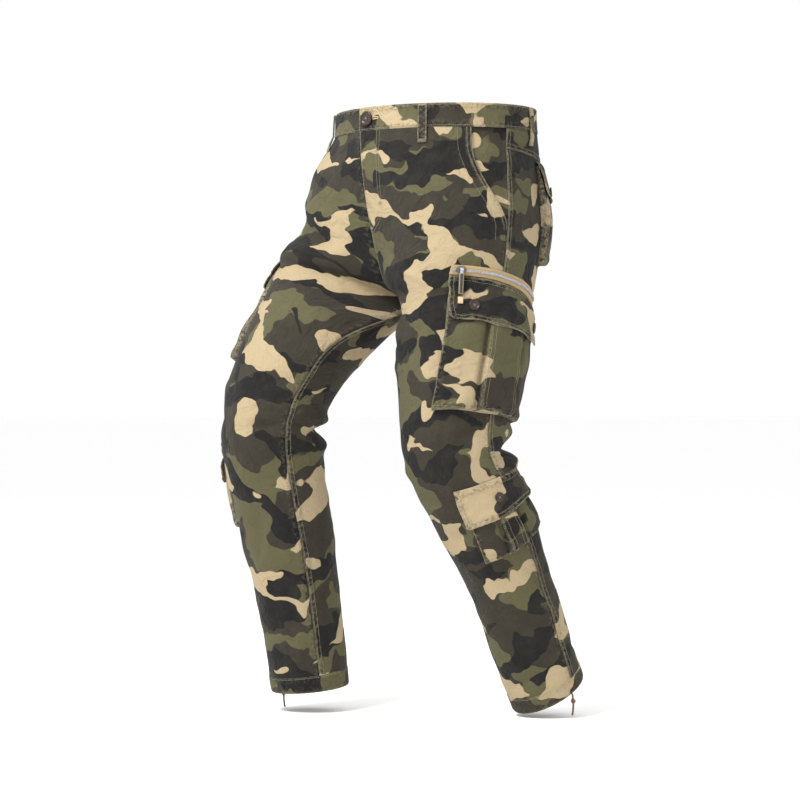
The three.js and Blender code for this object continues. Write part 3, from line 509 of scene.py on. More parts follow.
def cloth_material(name):
    """Washed cotton twill, printed with patches of tan, olive, brown and black, and darkened with painted shade in the
    hollows of the puckers beside its seams.
    """
    made, tree, shader = new_material(name, Sheen_Weight=0.04, Sheen_Roughness=0.5, Specular_IOR_Level=0.14)
    place = new_node(tree, "ShaderNodeUVMap", uv_map="cloth").outputs[0]
    wander = new_node(tree, "ShaderNodeTexNoise", {
        "Vector": place, "Scale": 34.0, "Detail": 1.0, "Roughness": 0.5,
    }, noise_dimensions="2D").outputs[1]
    centred = new_node(tree, "ShaderNodeVectorMath", {0: wander, 1: (0.5, 0.5, 0.5)}, operation="SUBTRACT").outputs[0]
    moved = new_node(tree, "ShaderNodeVectorMath", {0: centred, "Scale": 0.024}, operation="SCALE").outputs[0]
    printed = new_node(tree, "ShaderNodeVectorMath", {0: place, 1: moved}).outputs[0]
    brown = print_patches(tree, printed, (0.105, 0.066), 14, (0.31, 0.17, 0), 0.445)
    black = print_patches(tree, printed, (0.098, 0.056), -14, (1.73, 0.62, 0), 0.545)
    tan = print_patches(tree, printed, (0.100, 0.056), 10, (0.55, 2.41, 0), 0.618)
    colour = blended(tree, brown, OLIVE, BROWN)
    colour = blended(tree, black, colour, BLACK)
    colour = blended(tree, tan, colour, TAN)
    faded = new_node(tree, "ShaderNodeTexNoise", {
        "Vector": place, "Scale": 34.0, "Detail": 5.0, "Roughness": 0.62,
    }, noise_dimensions="2D").outputs[0]
    fading = new_node(tree, "ShaderNodeMapRange", {
        "Value": faded, "From Min": 0.4, "From Max": 0.75, "To Min": 0.0, "To Max": 0.035,
    }).outputs[0]
    colour = blended(tree, fading, colour, WORN)
    fibre = new_node(tree, "ShaderNodeTexNoise", {
        "Vector": place, "Scale": 900.0, "Detail": 2.0, "Roughness": 0.6,
    }, noise_dimensions="2D").outputs[0]
    rubbed = new_node(tree, "ShaderNodeTexNoise", {
        "Vector": place, "Scale": 240.0, "Detail": 3.0, "Roughness": 0.7,
    }, noise_dimensions="2D").outputs[0]
    uneven = new_node(tree, "ShaderNodeMapRange", {
        "Value": rubbed, "From Min": 0.34, "From Max": 0.62, "To Min": 0.1, "To Max": 1.0,
    }).outputs[0]
    colour = blended(tree, sum_of(tree, attribute(tree, "worn"), uneven, "MULTIPLY"), colour, WORN)
    drawn_up = new_node(tree, "ShaderNodeTexNoise", {
        "Vector": place, "Scale": 190.0, "Detail": 1.0, "Roughness": 0.5,
    }, noise_dimensions="2D").outputs[0]
    streaks = new_node(tree, "ShaderNodeMapRange", {
        "Value": drawn_up, "From Min": 0.48, "From Max": 0.74, "To Min": 0.0, "To Max": 0.26,
    }).outputs[0]
    colour = blended(tree, sum_of(tree, attribute(tree, "sewn"), streaks, "MULTIPLY"), colour, WORN)
    speckle_and_shade = new_node(tree, "ShaderNodeMapRange", {
        "Value": fibre, "From Min": 0.3, "From Max": 0.7, "To Min": 0.84, "To Max": 1.14,
    }).outputs[0]
    # Painted shade: the colour is darkened in the hollows of the seam puckers, where the drawn-up noise is low.
    pucker_shade = new_node(tree, "ShaderNodeMapRange", {
        "Value": drawn_up, "From Min": 0.28, "From Max": 0.5, "To Min": 0.45, "To Max": 0.0,
    }).outputs[0]
    pucker_shade = sum_of(tree, attribute(tree, "sewn"), pucker_shade, "MULTIPLY")
    # The fibre speckle now also carries the painted shade of the pucker hollows.
    speckle_and_shade = sum_of(tree, speckle_and_shade, pucker_shade, "SUBTRACT")
    shaded = new_node(tree, "ShaderNodeVectorMath", {0: colour, "Scale": speckle_and_shade}, operation="SCALE").outputs[0]
    inside = new_node(tree, "ShaderNodeMath", {0: attribute(tree, "inside"), 1: 0.55}, operation="MULTIPLY").outputs[0]
    shaded = blended(tree, inside, shaded, (0.34, 0.30, 0.22, 1))
    tree.links.new(shaded, shader.inputs["Base Color"])
    rough = new_node(tree, "ShaderNodeMapRange", {
        "Value": fibre, "To Min": 0.78, "To Max": 0.98,
    }).outputs[0]
    tree.links.new(rough, shader.inputs["Roughness"])
    slanted = new_node(tree, "ShaderNodeMapping", {
        "Vector": place, "Rotation": (0, 0, math.radians(28)), "Scale": (1, 1, 1),
    }).outputs[0]
    ribs = new_node(tree, "ShaderNodeTexWave", {
        "Vector": slanted, "Scale": 420.0, "Distortion": 1.2, "Detail": 1.0, "Detail Scale": 2.0,
    }, bands_direction="Y").outputs[1]
    height = sum_of(tree, ribs, sum_of(tree, fibre, 0.8, "MULTIPLY"))
    crumple = new_node(tree, "ShaderNodeTexNoise", {
        "Vector": place, "Scale": 46.0, "Detail": 3.0, "Roughness": 0.5, "Distortion": 0.9,
    }, noise_dimensions="2D").outputs[0]
    crumple = new_node(tree, "ShaderNodeBump", {"Strength": 0.7, "Distance": 0.0060, "Height": crumple}).outputs[0]
    puckers = sum_of(tree, attribute(tree, "sewn"), drawn_up, "MULTIPLY")
    puckers = new_node(tree, "ShaderNodeBump", {
        "Strength": 0.9, "Distance": 0.0045, "Height": puckers, "Normal": crumple,
    }).outputs[0]
    bump = new_node(tree, "ShaderNodeBump", {
        "Strength": 0.45, "Distance": 0.0004, "Height": height, "Normal": puckers,
    }).outputs[0]
    tree.links.new(bump, shader.inputs["Normal"])
    return made


def object_noise(tree, scale, detail=3.0):
    place = new_node(tree, "ShaderNodeTexCoord").outputs["Object"]
    return new_node(tree, "ShaderNodeTexNoise", {"Vector": place, "Scale": scale, "Detail": detail}).outputs[0]


def varied_material(name, dark, light, scale, rough, bump=0.0, bump_depth=0.0002, **shader):
    """A finish whose colour and roughness wander between two values."""
    made, tree, principled = new_material(name, **shader)
    spots = object_noise(tree, scale)
    tree.links.new(blended(tree, spots, dark, light), principled.inputs["Base Color"])
    span = new_node(tree, "ShaderNodeMapRange", {
        "Value": spots, "From Min": 0.3, "From Max": 0.7, "To Min": rough[0], "To Max": rough[1],
    }).outputs[0]
    tree.links.new(span, principled.inputs["Roughness"])
    if bump:
        raised = new_node(tree, "ShaderNodeBump", {
            "Strength": bump, "Distance": bump_depth, "Height": object_noise(tree, scale * 3),
        }).outputs[0]
        tree.links.new(raised, principled.inputs["Normal"])
    return made


TWILL = cloth_material("printed_twill")
THREAD = varied_material(
    "olive_thread", (0.16, 0.14, 0.075, 1), (0.40, 0.35, 0.21, 1), 160, (0.7, 0.95), 0.5, Sheen_Weight=0.2
)
TAN_THREAD = varied_material(
    "buttonhole_thread", (0.42, 0.28, 0.12, 1), (0.62, 0.46, 0.24, 1), 400, (0.6, 0.9), 0.5, Sheen_Weight=0.2
)
TAPE = varied_material(
    "zip_tape_weave", (0.34, 0.225, 0.10, 1), (0.47, 0.33, 0.165, 1), 300, (0.75, 0.95), 0.8, Sheen_Weight=0.1
)
METAL = varied_material(
    "worn_zip_metal", (0.30, 0.32, 0.36, 1), (0.72, 0.75, 0.80, 1), 420, (0.22, 0.5), 0.3, Metallic=1.0
)
DARK_METAL = varied_material(
    "dark_zip_metal", (0.055, 0.048, 0.042, 1), (0.28, 0.25, 0.21, 1), 500, (0.3, 0.6), 0.4, Metallic=0.9
)
CORD = varied_material(
    "brown_cord_weave", (0.075, 0.036, 0.018, 1), (0.17, 0.092, 0.05, 1), 700, (0.7, 0.95), 0.8, Sheen_Weight=0.15
)
TIP = varied_material(
    "tan_pull_tip", (0.36, 0.25, 0.13, 1), (0.66, 0.52, 0.33, 1), 350, (0.5, 0.8), 0.6
)


def button_material():
    """Dark brown resin, lighter and greyer in the middle, with a warmer marbled rim."""
    made, tree, shader = new_material("brown_button_resin", Coat_Weight=0.12, Coat_Roughness=0.2, Specular_IOR_Level=0.3)
    marble = object_noise(tree, 260, 5.0)
    rim = blended(tree, marble, (0.010, 0.006, 0.004, 1), (0.050, 0.025, 0.015, 1))
    middle = blended(tree, marble, (0.012, 0.009, 0.008, 1), (0.07, 0.052, 0.045, 1))
    tree.links.new(blended(tree, attribute(tree, "ring"), middle, rim), shader.inputs["Base Color"])
    gloss = new_node(tree, "ShaderNodeMapRange", {"Value": marble, "To Min": 0.2, "To Max": 0.42}).outputs[0]
    tree.links.new(gloss, shader.inputs["Roughness"])
    return made


BUTTON = button_material()

# Building pieces
TREES = {}


def mesh_piece(name, points, faces, material, body="garment", node=None, slot=None, soft=True):
    """A piece from points in millimetres and faces that may need turning outwards."""
    points = np.asarray(points, float) * MM
    faces = [list(f) for f in faces]
    volume = 0.0
    corners = {}
    for f in faces:
        corners.setdefault(len(f), []).append(f)
    for count, group in corners.items():
        g = np.array(group)
        for k in range(1, count - 1):
            a, b, c = points[g[:, 0]], points[g[:, k]], points[g[:, k + 1]]
            volume += float((a * np.cross(b, c)).sum())
    if volume < 0:
        faces = [f[::-1] for f in faces]
    mesh = bpy.data.meshes.new(name)
    mesh.from_pydata(points.tolist(), [], faces)
    mesh.materials.append(material)
    mesh.shade_smooth()
    if not soft:
        mesh.set_sharp_from_angle(angle=math.radians(38))
    piece = bpy.data.objects.new(name, mesh)
    bpy.context.scene.collection.objects.link(piece)
    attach(piece, body)
    if node:
        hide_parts(*([node] if isinstance(node, str) else node))
    TREES[name] = BVHTree.FromPolygons(points.tolist(), faces)
    return piece


def set_values(mesh, name, values):
    mesh.attributes.new(name, "FLOAT", "POINT").data.foreach_set("value", np.asarray(values, float).ravel())


def shell(name, outer, inner, place, worn, node, sewn=0, ring=False, material=None, slot="twill", body="garment"):
    """A closed wall of cloth between two grids of points (row, column), with its place on the cloth as UV.
    A ring's last column joins its first."""
    rows, wide = outer.shape[:2]
    number = np.arange(rows * wide).reshape(rows, wide)
    if ring:
        number = np.concatenate([number, number[:, :1]], 1)
    inside = number + rows * wide
    def quads(a, b, c, d):
        return np.stack([a, b, c, d], -1).reshape(-1, 4)
    parts = [
        quads(number[:-1, :-1], number[1:, :-1], number[1:, 1:], number[:-1, 1:]),
        quads(inside[:-1, :-1], inside[:-1, 1:], inside[1:, 1:], inside[1:, :-1]),
        quads(number[0, :-1], number[0, 1:], inside[0, 1:], inside[0, :-1]),
        quads(number[-1, :-1], inside[-1, :-1], inside[-1, 1:], number[-1, 1:]),
    ]
    if not ring:
        parts += [
            quads(number[:-1, 0], inside[:-1, 0], inside[1:, 0], number[1:, 0]),
            quads(number[:-1, -1], number[1:, -1], inside[1:, -1], inside[:-1, -1]),
        ]
    points = np.concatenate([outer.reshape(-1, 3), inner.reshape(-1, 3)])
    piece = mesh_piece(name, points, np.concatenate(parts), material or TWILL, body, node, slot)
    mesh = piece.data
    mesh.set_sharp_from_angle(angle=math.radians(62))
    corners = np.zeros(len(mesh.loops), int)
    mesh.loops.foreach_get("vertex_index", corners)
    spots = np.stack(np.broadcast_arrays(*place), -1).reshape(-1, 2)
    spots = np.concatenate([spots, spots])[corners] * MM
    if ring:
        first, last = spots[:, 0].min(), spots[:, 0].max()
        step = (last - first) / (wide - 1)
        table_of = spots.reshape(-1, 4, 2)
        across = np.ptp(table_of[..., 0], axis=1) > (last - first) / 2
        low = table_of[..., 0] < (first + last) / 2
        table_of[..., 0] = np.where(across[:, None] & low, table_of[..., 0] + (last - first) + step, table_of[..., 0])
        spots = table_of.reshape(-1, 2)
    mesh.uv_layers.new(name="cloth").data.foreach_set("uv", spots.ravel())
    for key, values in (("worn", worn), ("sewn", sewn)):
        values = np.clip(np.broadcast_to(values, outer.shape[:2]), 0, 1).ravel()
        set_values(mesh, key, np.concatenate([values, 0 * values]))
    set_values(mesh, "inside", np.repeat([0.0, 1.0], rows * wide))
    cut = CUTS.get(node) or CUTS.get(re.sub("_(left|right|front|side|back)", "", node))
    return piece


# How each piece is cut, in metres. share is how much of its rectangle the cut covers.
CUTS = named_rows(
    "width length share",
    ("front", 0.310, 0.900, 0.80),
    ("back", 0.310, 0.870, 0.84),
    ("yoke", 0.270, 0.064, 0.76),
    ("hem", 0.394, 0.027, 1.0),
    ("waistband", 1.072, 0.039, 1.0),
    ("pocket_facing", 0.084, 0.170, 0.58),
    ("belt_loop", 0.016, 0.064, 1.0),
    ("cargo_pocket", 0.196, 0.218, 0.96),
    ("calf_pocket", 0.136, 0.122, 0.96),
    ("back_pocket", 0.150, 0.165, 0.94),
    ("cargo_flap", 0.184, 0.080, 0.98),
    ("calf_flap", 0.126, 0.062, 1.0),
    ("back_flap", 0.135, 0.068, 1.0),
    ("zip_tape", 0.186, 0.017, 1.0),
)


# Sewing: lines of thread, each dropped onto the piece that it is sewn through
SEWING = {}


def sew(kind, piece, points, outward, height=0.16):
    """Adds one line of sewing of a kind, in millimetres, laid on a piece's outer face."""
    line, directions = [], []
    lines = SEWING.setdefault(kind, [])
    for p, n in zip(np.asarray(points), np.asarray(outward)):
        hit = TREES[piece].ray_cast(Vector((p + n * 7) * MM), Vector(-n), 0.016)[0]
        if hit is None:
            if len(line) > 1:
                lines.append((line, directions))
            line, directions = [], []
            continue
        line.append(np.array(hit) + n * height * MM)
        directions.append(n)
    if len(line) > 1:
        lines.append((line, directions))


def row_tree(shape):
    """A node tree that sets a small shape in rows along lines, turned to the line and the cloth."""
    tree = bpy.data.node_groups.new("row_of_" + shape, "GeometryNodeTree")
    face = tree.interface
    face.new_socket("Geometry", in_out="INPUT", socket_type="NodeSocketGeometry")
    for name in ("Spacing", "Along", "Across", "Height"):
        face.new_socket(name, in_out="INPUT", socket_type="NodeSocketFloat")
    face.new_socket("Uneven", in_out="INPUT", socket_type="NodeSocketFloat")
    face.new_socket("Seed", in_out="INPUT", socket_type="NodeSocketInt")
    face.new_socket("Finish", in_out="INPUT", socket_type="NodeSocketMaterial")
    face.new_socket("Geometry", in_out="OUTPUT", socket_type="NodeSocketGeometry")
    given = tree.nodes.new("NodeGroupInput").outputs
    curve = new_node(tree, "GeometryNodeMeshToCurve", {"Mesh": given["Geometry"]}).outputs[0]
    spaced = new_node(tree, "GeometryNodeResampleCurve", {"Curve": curve})
    spaced.mode = "LENGTH"
    tree.links.new(given["Spacing"], spaced.inputs["Length"])
    outward = new_node(tree, "GeometryNodeInputNamedAttribute", {"Name": "outward"}, data_type="FLOAT_VECTOR").outputs[0]
    tangent = new_node(tree, "GeometryNodeInputTangent").outputs[0]
    aimed = new_node(tree, "FunctionNodeAxesToRotation", {
        "Primary Axis": outward, "Secondary Axis": tangent,
    }, primary_axis="Z", secondary_axis="X").outputs[0]
    wobble = new_node(tree, "FunctionNodeRandomValue", data_type="FLOAT")
    low = new_node(tree, "ShaderNodeMath", {0: given["Uneven"], 1: -1.0}, operation="MULTIPLY").outputs[0]
    tree.links.new(low, wobble.inputs[2])
    tree.links.new(given["Uneven"], wobble.inputs[3])
    tree.links.new(given["Seed"], wobble.inputs["Seed"])
    spin = new_node(tree, "ShaderNodeCombineXYZ", {"Z": wobble.outputs[1]}).outputs[0]
    spin = new_node(tree, "FunctionNodeEulerToRotation", {0: spin}).outputs[0]
    aimed = new_node(tree, "FunctionNodeRotateRotation", {0: aimed, 1: spin}, rotation_space="LOCAL").outputs[0]
    if shape == "stitch":
        model = new_node(tree, "GeometryNodeMeshIcoSphere", {"Radius": 0.5, "Subdivisions": 1}).outputs[0]
    else:
        model = new_node(tree, "GeometryNodeMeshCube", {"Size": (1, 1, 1)}).outputs[0]
    size = new_node(tree, "ShaderNodeCombineXYZ", {
        "X": given["Along"], "Y": given["Across"], "Z": given["Height"],
    }).outputs[0]
    placed = new_node(tree, "GeometryNodeInstanceOnPoints", {
        "Points": spaced.outputs[0], "Instance": model, "Rotation": aimed, "Scale": size,
    }).outputs[0]
    real = new_node(tree, "GeometryNodeRealizeInstances", {0: placed}).outputs[0]
    if shape == "stitch":
        real = new_node(tree, "GeometryNodeSetShadeSmooth", {"Geometry": real}).outputs[0]
    done = new_node(tree, "GeometryNodeSetMaterial", {"Geometry": real, "Material": given["Finish"]}).outputs[0]
    tree.links.new(done, tree.nodes.new("NodeGroupOutput").inputs[0])
    return tree


ROWS_OF = {"stitch": row_tree("stitch"), "tooth": row_tree("tooth")}


def rows_piece(name, lines, shape, sizes, material, body="garment", **replaced):
    """One mesh of small shapes set in rows along lines in metres. sizes are in millimetres."""
    points, edges, outward = [], [], []
    for line, directions in lines:
        start = len(points)
        points += [tuple(p) for p in line]
        outward += [tuple(d) for d in directions]
        edges += [(start + k, start + k + 1) for k in range(len(line) - 1)]
    mesh = bpy.data.meshes.new(name + "_lines")
    mesh.from_pydata(points, edges, [])
    mesh.attributes.new("outward", "FLOAT_VECTOR", "POINT").data.foreach_set("vector", np.array(outward).ravel())
    guide = bpy.data.objects.new(name + "_lines", mesh)
    bpy.context.scene.collection.objects.link(guide)
    rows = guide.modifiers.new("rows", "NODES")
    rows.node_group = ROWS_OF[shape]
    sockets = {
        s.name: s.identifier for s in rows.node_group.interface.items_tree if s.in_out == "INPUT"
    }
    for key, value in sizes.items():
        rows[sockets[key]] = value if key in ("Seed", "Uneven") else value * MM
    rows[sockets["Finish"]] = material
    evaluated = guide.evaluated_get(bpy.context.evaluated_depsgraph_get())
    made = bpy.data.meshes.new_from_object(evaluated)
    guide.modifiers.remove(rows)
    bpy.data.objects.remove(guide)
    made.name = name
    if not made.materials:
        made.materials.append(material)
    piece = bpy.data.objects.new(name, made)
    bpy.context.scene.collection.objects.link(piece)
    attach(piece, body)
    if replaced.get("node"):
        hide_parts(replaced["node"])
    return piece


# Leg panels
PANEL_COLUMNS = 66
PANEL_ROWS = 230
FELL = 8.5
TURNED_IN = 0.7
FLY_LIFT = 1.2
PRINT_SHIFT = {
    "front_left": (0, 40), "back_left": (420, 130), "yoke_left": (160, 610),
    "front_right": (955, 350), "back_right": (1330, 50), "yoke_right": (1500, 700),
}


def shifted(piece, u, v):
    """A place on the printed cloth: each piece is cut from its own part of the roll."""
    du, dv = PRINT_SHIFT.get(piece, (0, 0))
    return u + du, v + dv


def pucker(run, off, reach=7.0, pitch=7.4):
    """Small ripples across a seam, strongest on its line."""
    wave = np.sin(2 * math.pi * run / pitch + 2.4 * hills(run / 24, 0.5, 5))
    return 0.34 * wave * np.exp(-(((off - 4) / reach) ** 2))


def fell(off, run):
    """The thicker edge of the panel that laps over a seam, puckered by its two rows of sewing."""
    return 0.85 * (1 - smooth(FELL - 1, FELL + 2, off)) + pucker(run, off)


def beside_seam(off):
    """How much sewing draws up the cloth at a distance from a seam."""
    return np.exp(-(((off - 4.5) / 4.5) ** 2))


def tucked(off):
    """The edge of the panel that lies under a seam."""
    return -0.9 * np.exp(-((off / 1.3) ** 2))


def mouth_inset(down):
    share = np.maximum(0, (MOUTH_END - down) / (MOUTH_END - BAND_HEIGHT))
    return 66 * np.sin(np.minimum(1, share * 1.15) * math.pi / 2) ** 1.4


def yoke_line(phi):
    return mix(YOKE_AT_SIDE, YOKE_AT_BACK, np.maximum(0, (phi - 90) / 90))


def edge_gap(down):
    return SEAM_GAP / 2 / tube_radius(down) / RADIANS


def front_edges(side, down):
    first = inner_phi(side, down) + np.where(down > CROTCH_DOWN, edge_gap(down), 0)
    last = 90 - mouth_inset(down) / tube_radius(down) / RADIANS - edge_gap(down)
    return first, last


def back_edges(side, down):
    first = 90 + edge_gap(down)
    last = 180 - inner_phi(side, down) - np.where(down > CROTCH_DOWN, edge_gap(down), 0)
    return first, last


def front_panel(side):
    down = np.linspace(BAND_HEIGHT - TURNED_IN, HEM_DOWN - HEM_HEIGHT + TURNED_IN, PANEL_ROWS)[:, None]
    first, last = front_edges(side, down)
    phi = mix(first, last, packed(PANEL_COLUMNS)[None, :])
    down = np.broadcast_to(down, phi.shape)
    radius = tube_radius(down)
    from_middle = (phi - first) * RADIANS * radius
    from_side = (last - phi) * RADIANS * radius
    above = down < FLY_END
    mouth = smooth(MOUTH_END, MOUTH_END - 12, down)
    lift = np.where(down > CROTCH_DOWN, tucked(from_middle), 0)
    if side == "left":
        lift = lift + FLY_LIFT * (1 - smooth(12, 42, from_middle)) * smooth(FLY_END + 4, FLY_END - 8, down)
        lift = lift + np.where(above | (down > CROTCH_DOWN), 0, fell(from_middle, down)) * smooth(300, 280, down)
    else:
        lift = lift + np.where(above, 0, tucked(from_middle)) * (down <= CROTCH_DOWN)
    lift = lift + (1 - mouth) * tucked(from_side) + mouth * (0.7 * np.exp(-(((from_side - 3) / 4) ** 2)))
    lift = lift + mouth * pucker(down, from_side, 6)
    lift = lift + tucked(down - BAND_HEIGHT - SEAM_GAP)
    worn = mouth * 0.9 * np.exp(-((from_side / 1.6) ** 2)) + 0.35 * mouth * np.exp(-(((from_side - 8) / 1.5) ** 2))
    if side == "left":
        worn = worn + 0.8 * above * np.exp(-((from_middle / 1.6) ** 2))
    sewn = 0.6 * beside_seam(from_side) + 0.5 * beside_seam(from_middle) + 0.35 * mouth * beside_seam(from_side - 20)
    name = "front_" + side
    place = shifted(name, (phi - 90) * RADIANS * radius, down)
    base = surface(side, phi, down)
    outer, inner = layer(side, base, down, lift), layer(side, base, down, lift * 0.4 - CLOTH)
    shell(name + "_cloth", outer, inner, place, worn, name, sewn)


def back_grid(side, top, bottom, rows):
    """phi and down over a back panel. top and bottom give its first and last rows by phi."""
    phi_at = lambda down: mix(*back_edges(side, down), packed(PANEL_COLUMNS)[None, :])
    middle = (top(phi_at(np.array([[80.0]]))) + bottom) / 2 if np.isscalar(bottom) else np.array([[60.0]])
    start = top(phi_at(np.clip(middle, 40, 90) * 0 + 80.0))
    end = bottom if np.isscalar(bottom) else bottom(phi_at(np.array([[80.0]])))
    share = np.linspace(0, 1, rows)[:, None]
    down = mix(start, end, share)
    first, last = back_edges(side, down)
    return mix(first, last, packed(PANEL_COLUMNS)[None, :]), down


def back_panel(side):
    phi, down = back_grid(side, lambda p: yoke_line(p) - TURNED_IN, HEM_DOWN - HEM_HEIGHT + TURNED_IN, PANEL_ROWS)
    first, last = back_edges(side, down)
    radius = tube_radius(down)
    from_side = (phi - first) * RADIANS * radius
    from_middle = (last - phi) * RADIANS * radius
    top = down - yoke_line(phi) - SEAM_GAP
    lift = fell(from_side, down) + tucked(top)
    worn = 0.55 * np.exp(-((from_side / 1.5) ** 2))
    laps = (down > CROTCH_DOWN) | (side == "left")
    seam = np.where(laps, fell(from_middle, down), tucked(from_middle))
    calm = 1 - np.exp(-(((down - CROTCH_DOWN) / 14) ** 2))
    lift = lift + seam * calm
    worn = worn + 0.4 * laps * np.exp(-((from_middle / 1.5) ** 2))
    sewn = beside_seam(from_side) + beside_seam(from_middle)
    name = "back_" + side
    place = shifted(name, (phi - 90) * RADIANS * radius, down)
    base = surface(side, phi, down)
    outer, inner = layer(side, base, down, lift), layer(side, base, down, lift * 0.4 - CLOTH)
    shell(name + "_cloth", outer, inner, place, worn, name, sewn)


def yoke(side):
    share = packed(22, 0.4)[:, None]
    phi_line = mix(*back_edges(side, np.array([[80.0]])), packed(PANEL_COLUMNS)[None, :])
    down = mix(BAND_HEIGHT - TURNED_IN, yoke_line(phi_line), share)
    first, last = back_edges(side, down)
    phi = mix(first, last, packed(PANEL_COLUMNS)[None, :])
    radius = tube_radius(down)
    from_side = (phi - first) * RADIANS * radius
    from_middle = (last - phi) * RADIANS * radius
    around = phi * RADIANS * radius
    bottom = yoke_line(phi) - down
    lift = fell(bottom, around) + fell(from_side, down) * (1 - np.exp(-((bottom / 9) ** 2)))
    lift = lift + (fell(from_middle, down) if side == "left" else tucked(from_middle))
    lift = np.minimum(lift, 1.5) + tucked(down - BAND_HEIGHT - SEAM_GAP)
    worn = 0.6 * np.exp(-((bottom / 1.5) ** 2)) + 0.5 * np.exp(-((from_side / 1.5) ** 2))
    sewn = beside_seam(bottom) + beside_seam(from_side) + beside_seam(from_middle)
    name = "yoke_" + side
    place = shifted(name, (phi - 90) * RADIANS * radius, down)
    base = surface(side, phi, down)
    outer, inner = layer(side, base, down, lift), layer(side, base, down, lift * 0.4 - CLOTH)
    shell(name + "_cloth", outer, inner, place, worn, name, sewn)


def pocket_facing(side):
    down = np.linspace(BAND_HEIGHT - TURNED_IN, 206, 46)[:, None]
    behind = mix(-mouth_inset(down) - 16, -SEAM_GAP, packed(22, 0.4)[None, :])
    down = np.broadcast_to(down, behind.shape)
    phi = 90 + behind / tube_radius(down) / RADIANS
    base = surface(side, phi, down)
    sink = -1.6 - 0.9 - 0.8 * smooth(10, 30, -behind)
    sink = np.where(behind > -6, mix(-0.7, sink, smooth(0, 6, -behind)), sink)
    name = "pocket_facing_" + side
    place = shifted("back_" + side, behind, down)
    shell(name + "_cloth", layer(side, base, down, sink), layer(side, base, down, sink - CLOTH), place, 0, name)


def hem(side):
    columns = 150
    down = np.linspace(HEM_DOWN - HEM_HEIGHT, HEM_DOWN, 12)[:, None]
    phi = -90 + 360 * np.arange(columns)[None, :] / columns
    down, phi = np.broadcast_arrays(down, phi)
    radius = tube_radius(down)
    around = phi * RADIANS * radius
    top, bottom = down - (HEM_DOWN - HEM_HEIGHT), HEM_DOWN - down
    seed = 21 if side == "left" else 22
    gather = 0.5 * np.sin(2 * math.pi * around / 13 + 3 * hills(around / 40, 0.5, seed))
    lift = 0.5 + gather * np.sin(math.pi * np.clip(top / HEM_HEIGHT, 0, 1)) * 0.8 + pucker(around, top, 5) * 0.8
    lift = lift - 0.9 * np.exp(-((bottom / 1.2) ** 2))
    worn = 0.55 * np.exp(-((bottom / 1.8) ** 2)) + 0.3 * np.exp(-((top / 1.2) ** 2))
    base = surface(side, phi, down)
    place = shifted("front_" + side, around - math.pi / 2 * radius, down)
    name = "hem_" + side
    outer, inner = layer(side, base, down, lift), layer(side, base, down, -2.7 + 0 * lift)
    shell(name + "_cloth", outer, inner, place, worn, name, 0.4 * beside_seam(top) + 0.3 * beside_seam(bottom), ring=True)


# Pockets and flaps on the outer side of each leg and on the seat
PATCHES = named_rows(
    "front_top back_top front_bottom back_bottom top bottom top_sag bottom_sag",
    ("cargo_pocket", -80, 95, -93, 86, 281, 482, 31, 16),
    ("cargo_flap", -85, 98, -78, 98, 272, 346, 31, 20),
    ("zip", -86, 98, -86, 98, 255, 271, 31, 31),
    ("calf_pocket", -76, 37, -78, 42, 598, 709, -2, -19),
    ("calf_flap", -80, 40, -82, 44, 590, 645, -2, -8),
    ("back_pocket", 95, 222, 98, 208, 92, 241, 18, 0),
    ("back_flap", 92, 225, 92, 225, 84, 141, 18, 16),
)
PROFILES = {
    "cargo_pocket": table(
        "across lift",
        (0, 0), (0.014, 9), (0.1, 9.5), (0.2, 10.4), (0.29, 10), (0.325, 7), (0.345, 1), (0.362, 2), (0.378, 11),
        (0.49, 10.6), (0.61, 11), (0.715, 11.4), (0.735, 6), (0.75, 1.5), (0.77, 6), (0.81, 9), (0.9, 9.5),
        (0.986, 9), (1, 0),
    ),
    "calf_pocket": table(
        "across lift",
        (0, 0), (0.02, 7), (0.13, 7.6), (0.26, 7.4), (0.32, 4), (0.35, 0.8), (0.39, 8.6), (0.5, 8.5), (0.61, 8.6),
        (0.65, 0.8), (0.68, 4), (0.74, 7.4), (0.87, 7.6), (0.98, 7), (1, 0),
    ),
    "back_pocket": table(
        "across lift",
        (0, 0), (0.02, 11), (0.18, 12), (0.34, 12.4), (0.5, 12.5), (0.66, 12.4), (0.82, 12), (0.98, 10), (1, 0),
    ),
}
RISES = {
    "cargo_pocket": table(
        "below rise",
        (0, 0.16), (0.12, 0.5), (0.3, 0.9), (0.5, 1.05), (0.7, 1.1), (0.86, 1.05), (0.985, 0.95), (1, 0),
    ),
    "calf_pocket": table(
        "below rise", (0, 0.16), (0.2, 0.6), (0.45, 0.95), (0.7, 1.05), (0.975, 0.9), (1, 0),
    ),
    "back_pocket": table(
        "below rise",
        (0, 0.16), (0.15, 0.6), (0.32, 0.95), (0.48, 1.05), (0.64, 1.1), (0.78, 1.05), (0.88, 1), (0.98, 0.9), (1, 0),
    ),
}
FLAP_LIFTS = {
    "cargo_flap": table("below lift", (0, 0.85), (0.1, 4.2), (0.4, 8.6), (0.75, 11.6), (1, 13.6)),
    "calf_flap": table("below lift", (0, 0.85), (0.12, 3.6), (0.5, 7.2), (1, 10)),
    "back_flap": table("below lift", (0, 0.85), (0.12, 4.4), (0.5, 11), (1, 16)),
}
PLEATS = {"cargo_pocket": (0.378, 0.715), "calf_pocket": (0.39, 0.61)}
PATCH_PRINT = {
    "cargo_pocket": (1850, 340), "cargo_flap": (2480, 900), "calf_pocket": (2900, 410),
    "calf_flap": (5760, -130), "back_pocket": (3500, 700), "back_flap": (3800, 150),
}


def patch_spot(patch, across, below):
    p = PATCHES[patch]
    behind = mix(mix(p["front_top"], p["front_bottom"], below), mix(p["back_top"], p["back_bottom"], below), across)
    down = mix(p["top"] + p["top_sag"] * across**2, p["bottom"] + p["bottom_sag"] * across**2, below)
    return behind, down


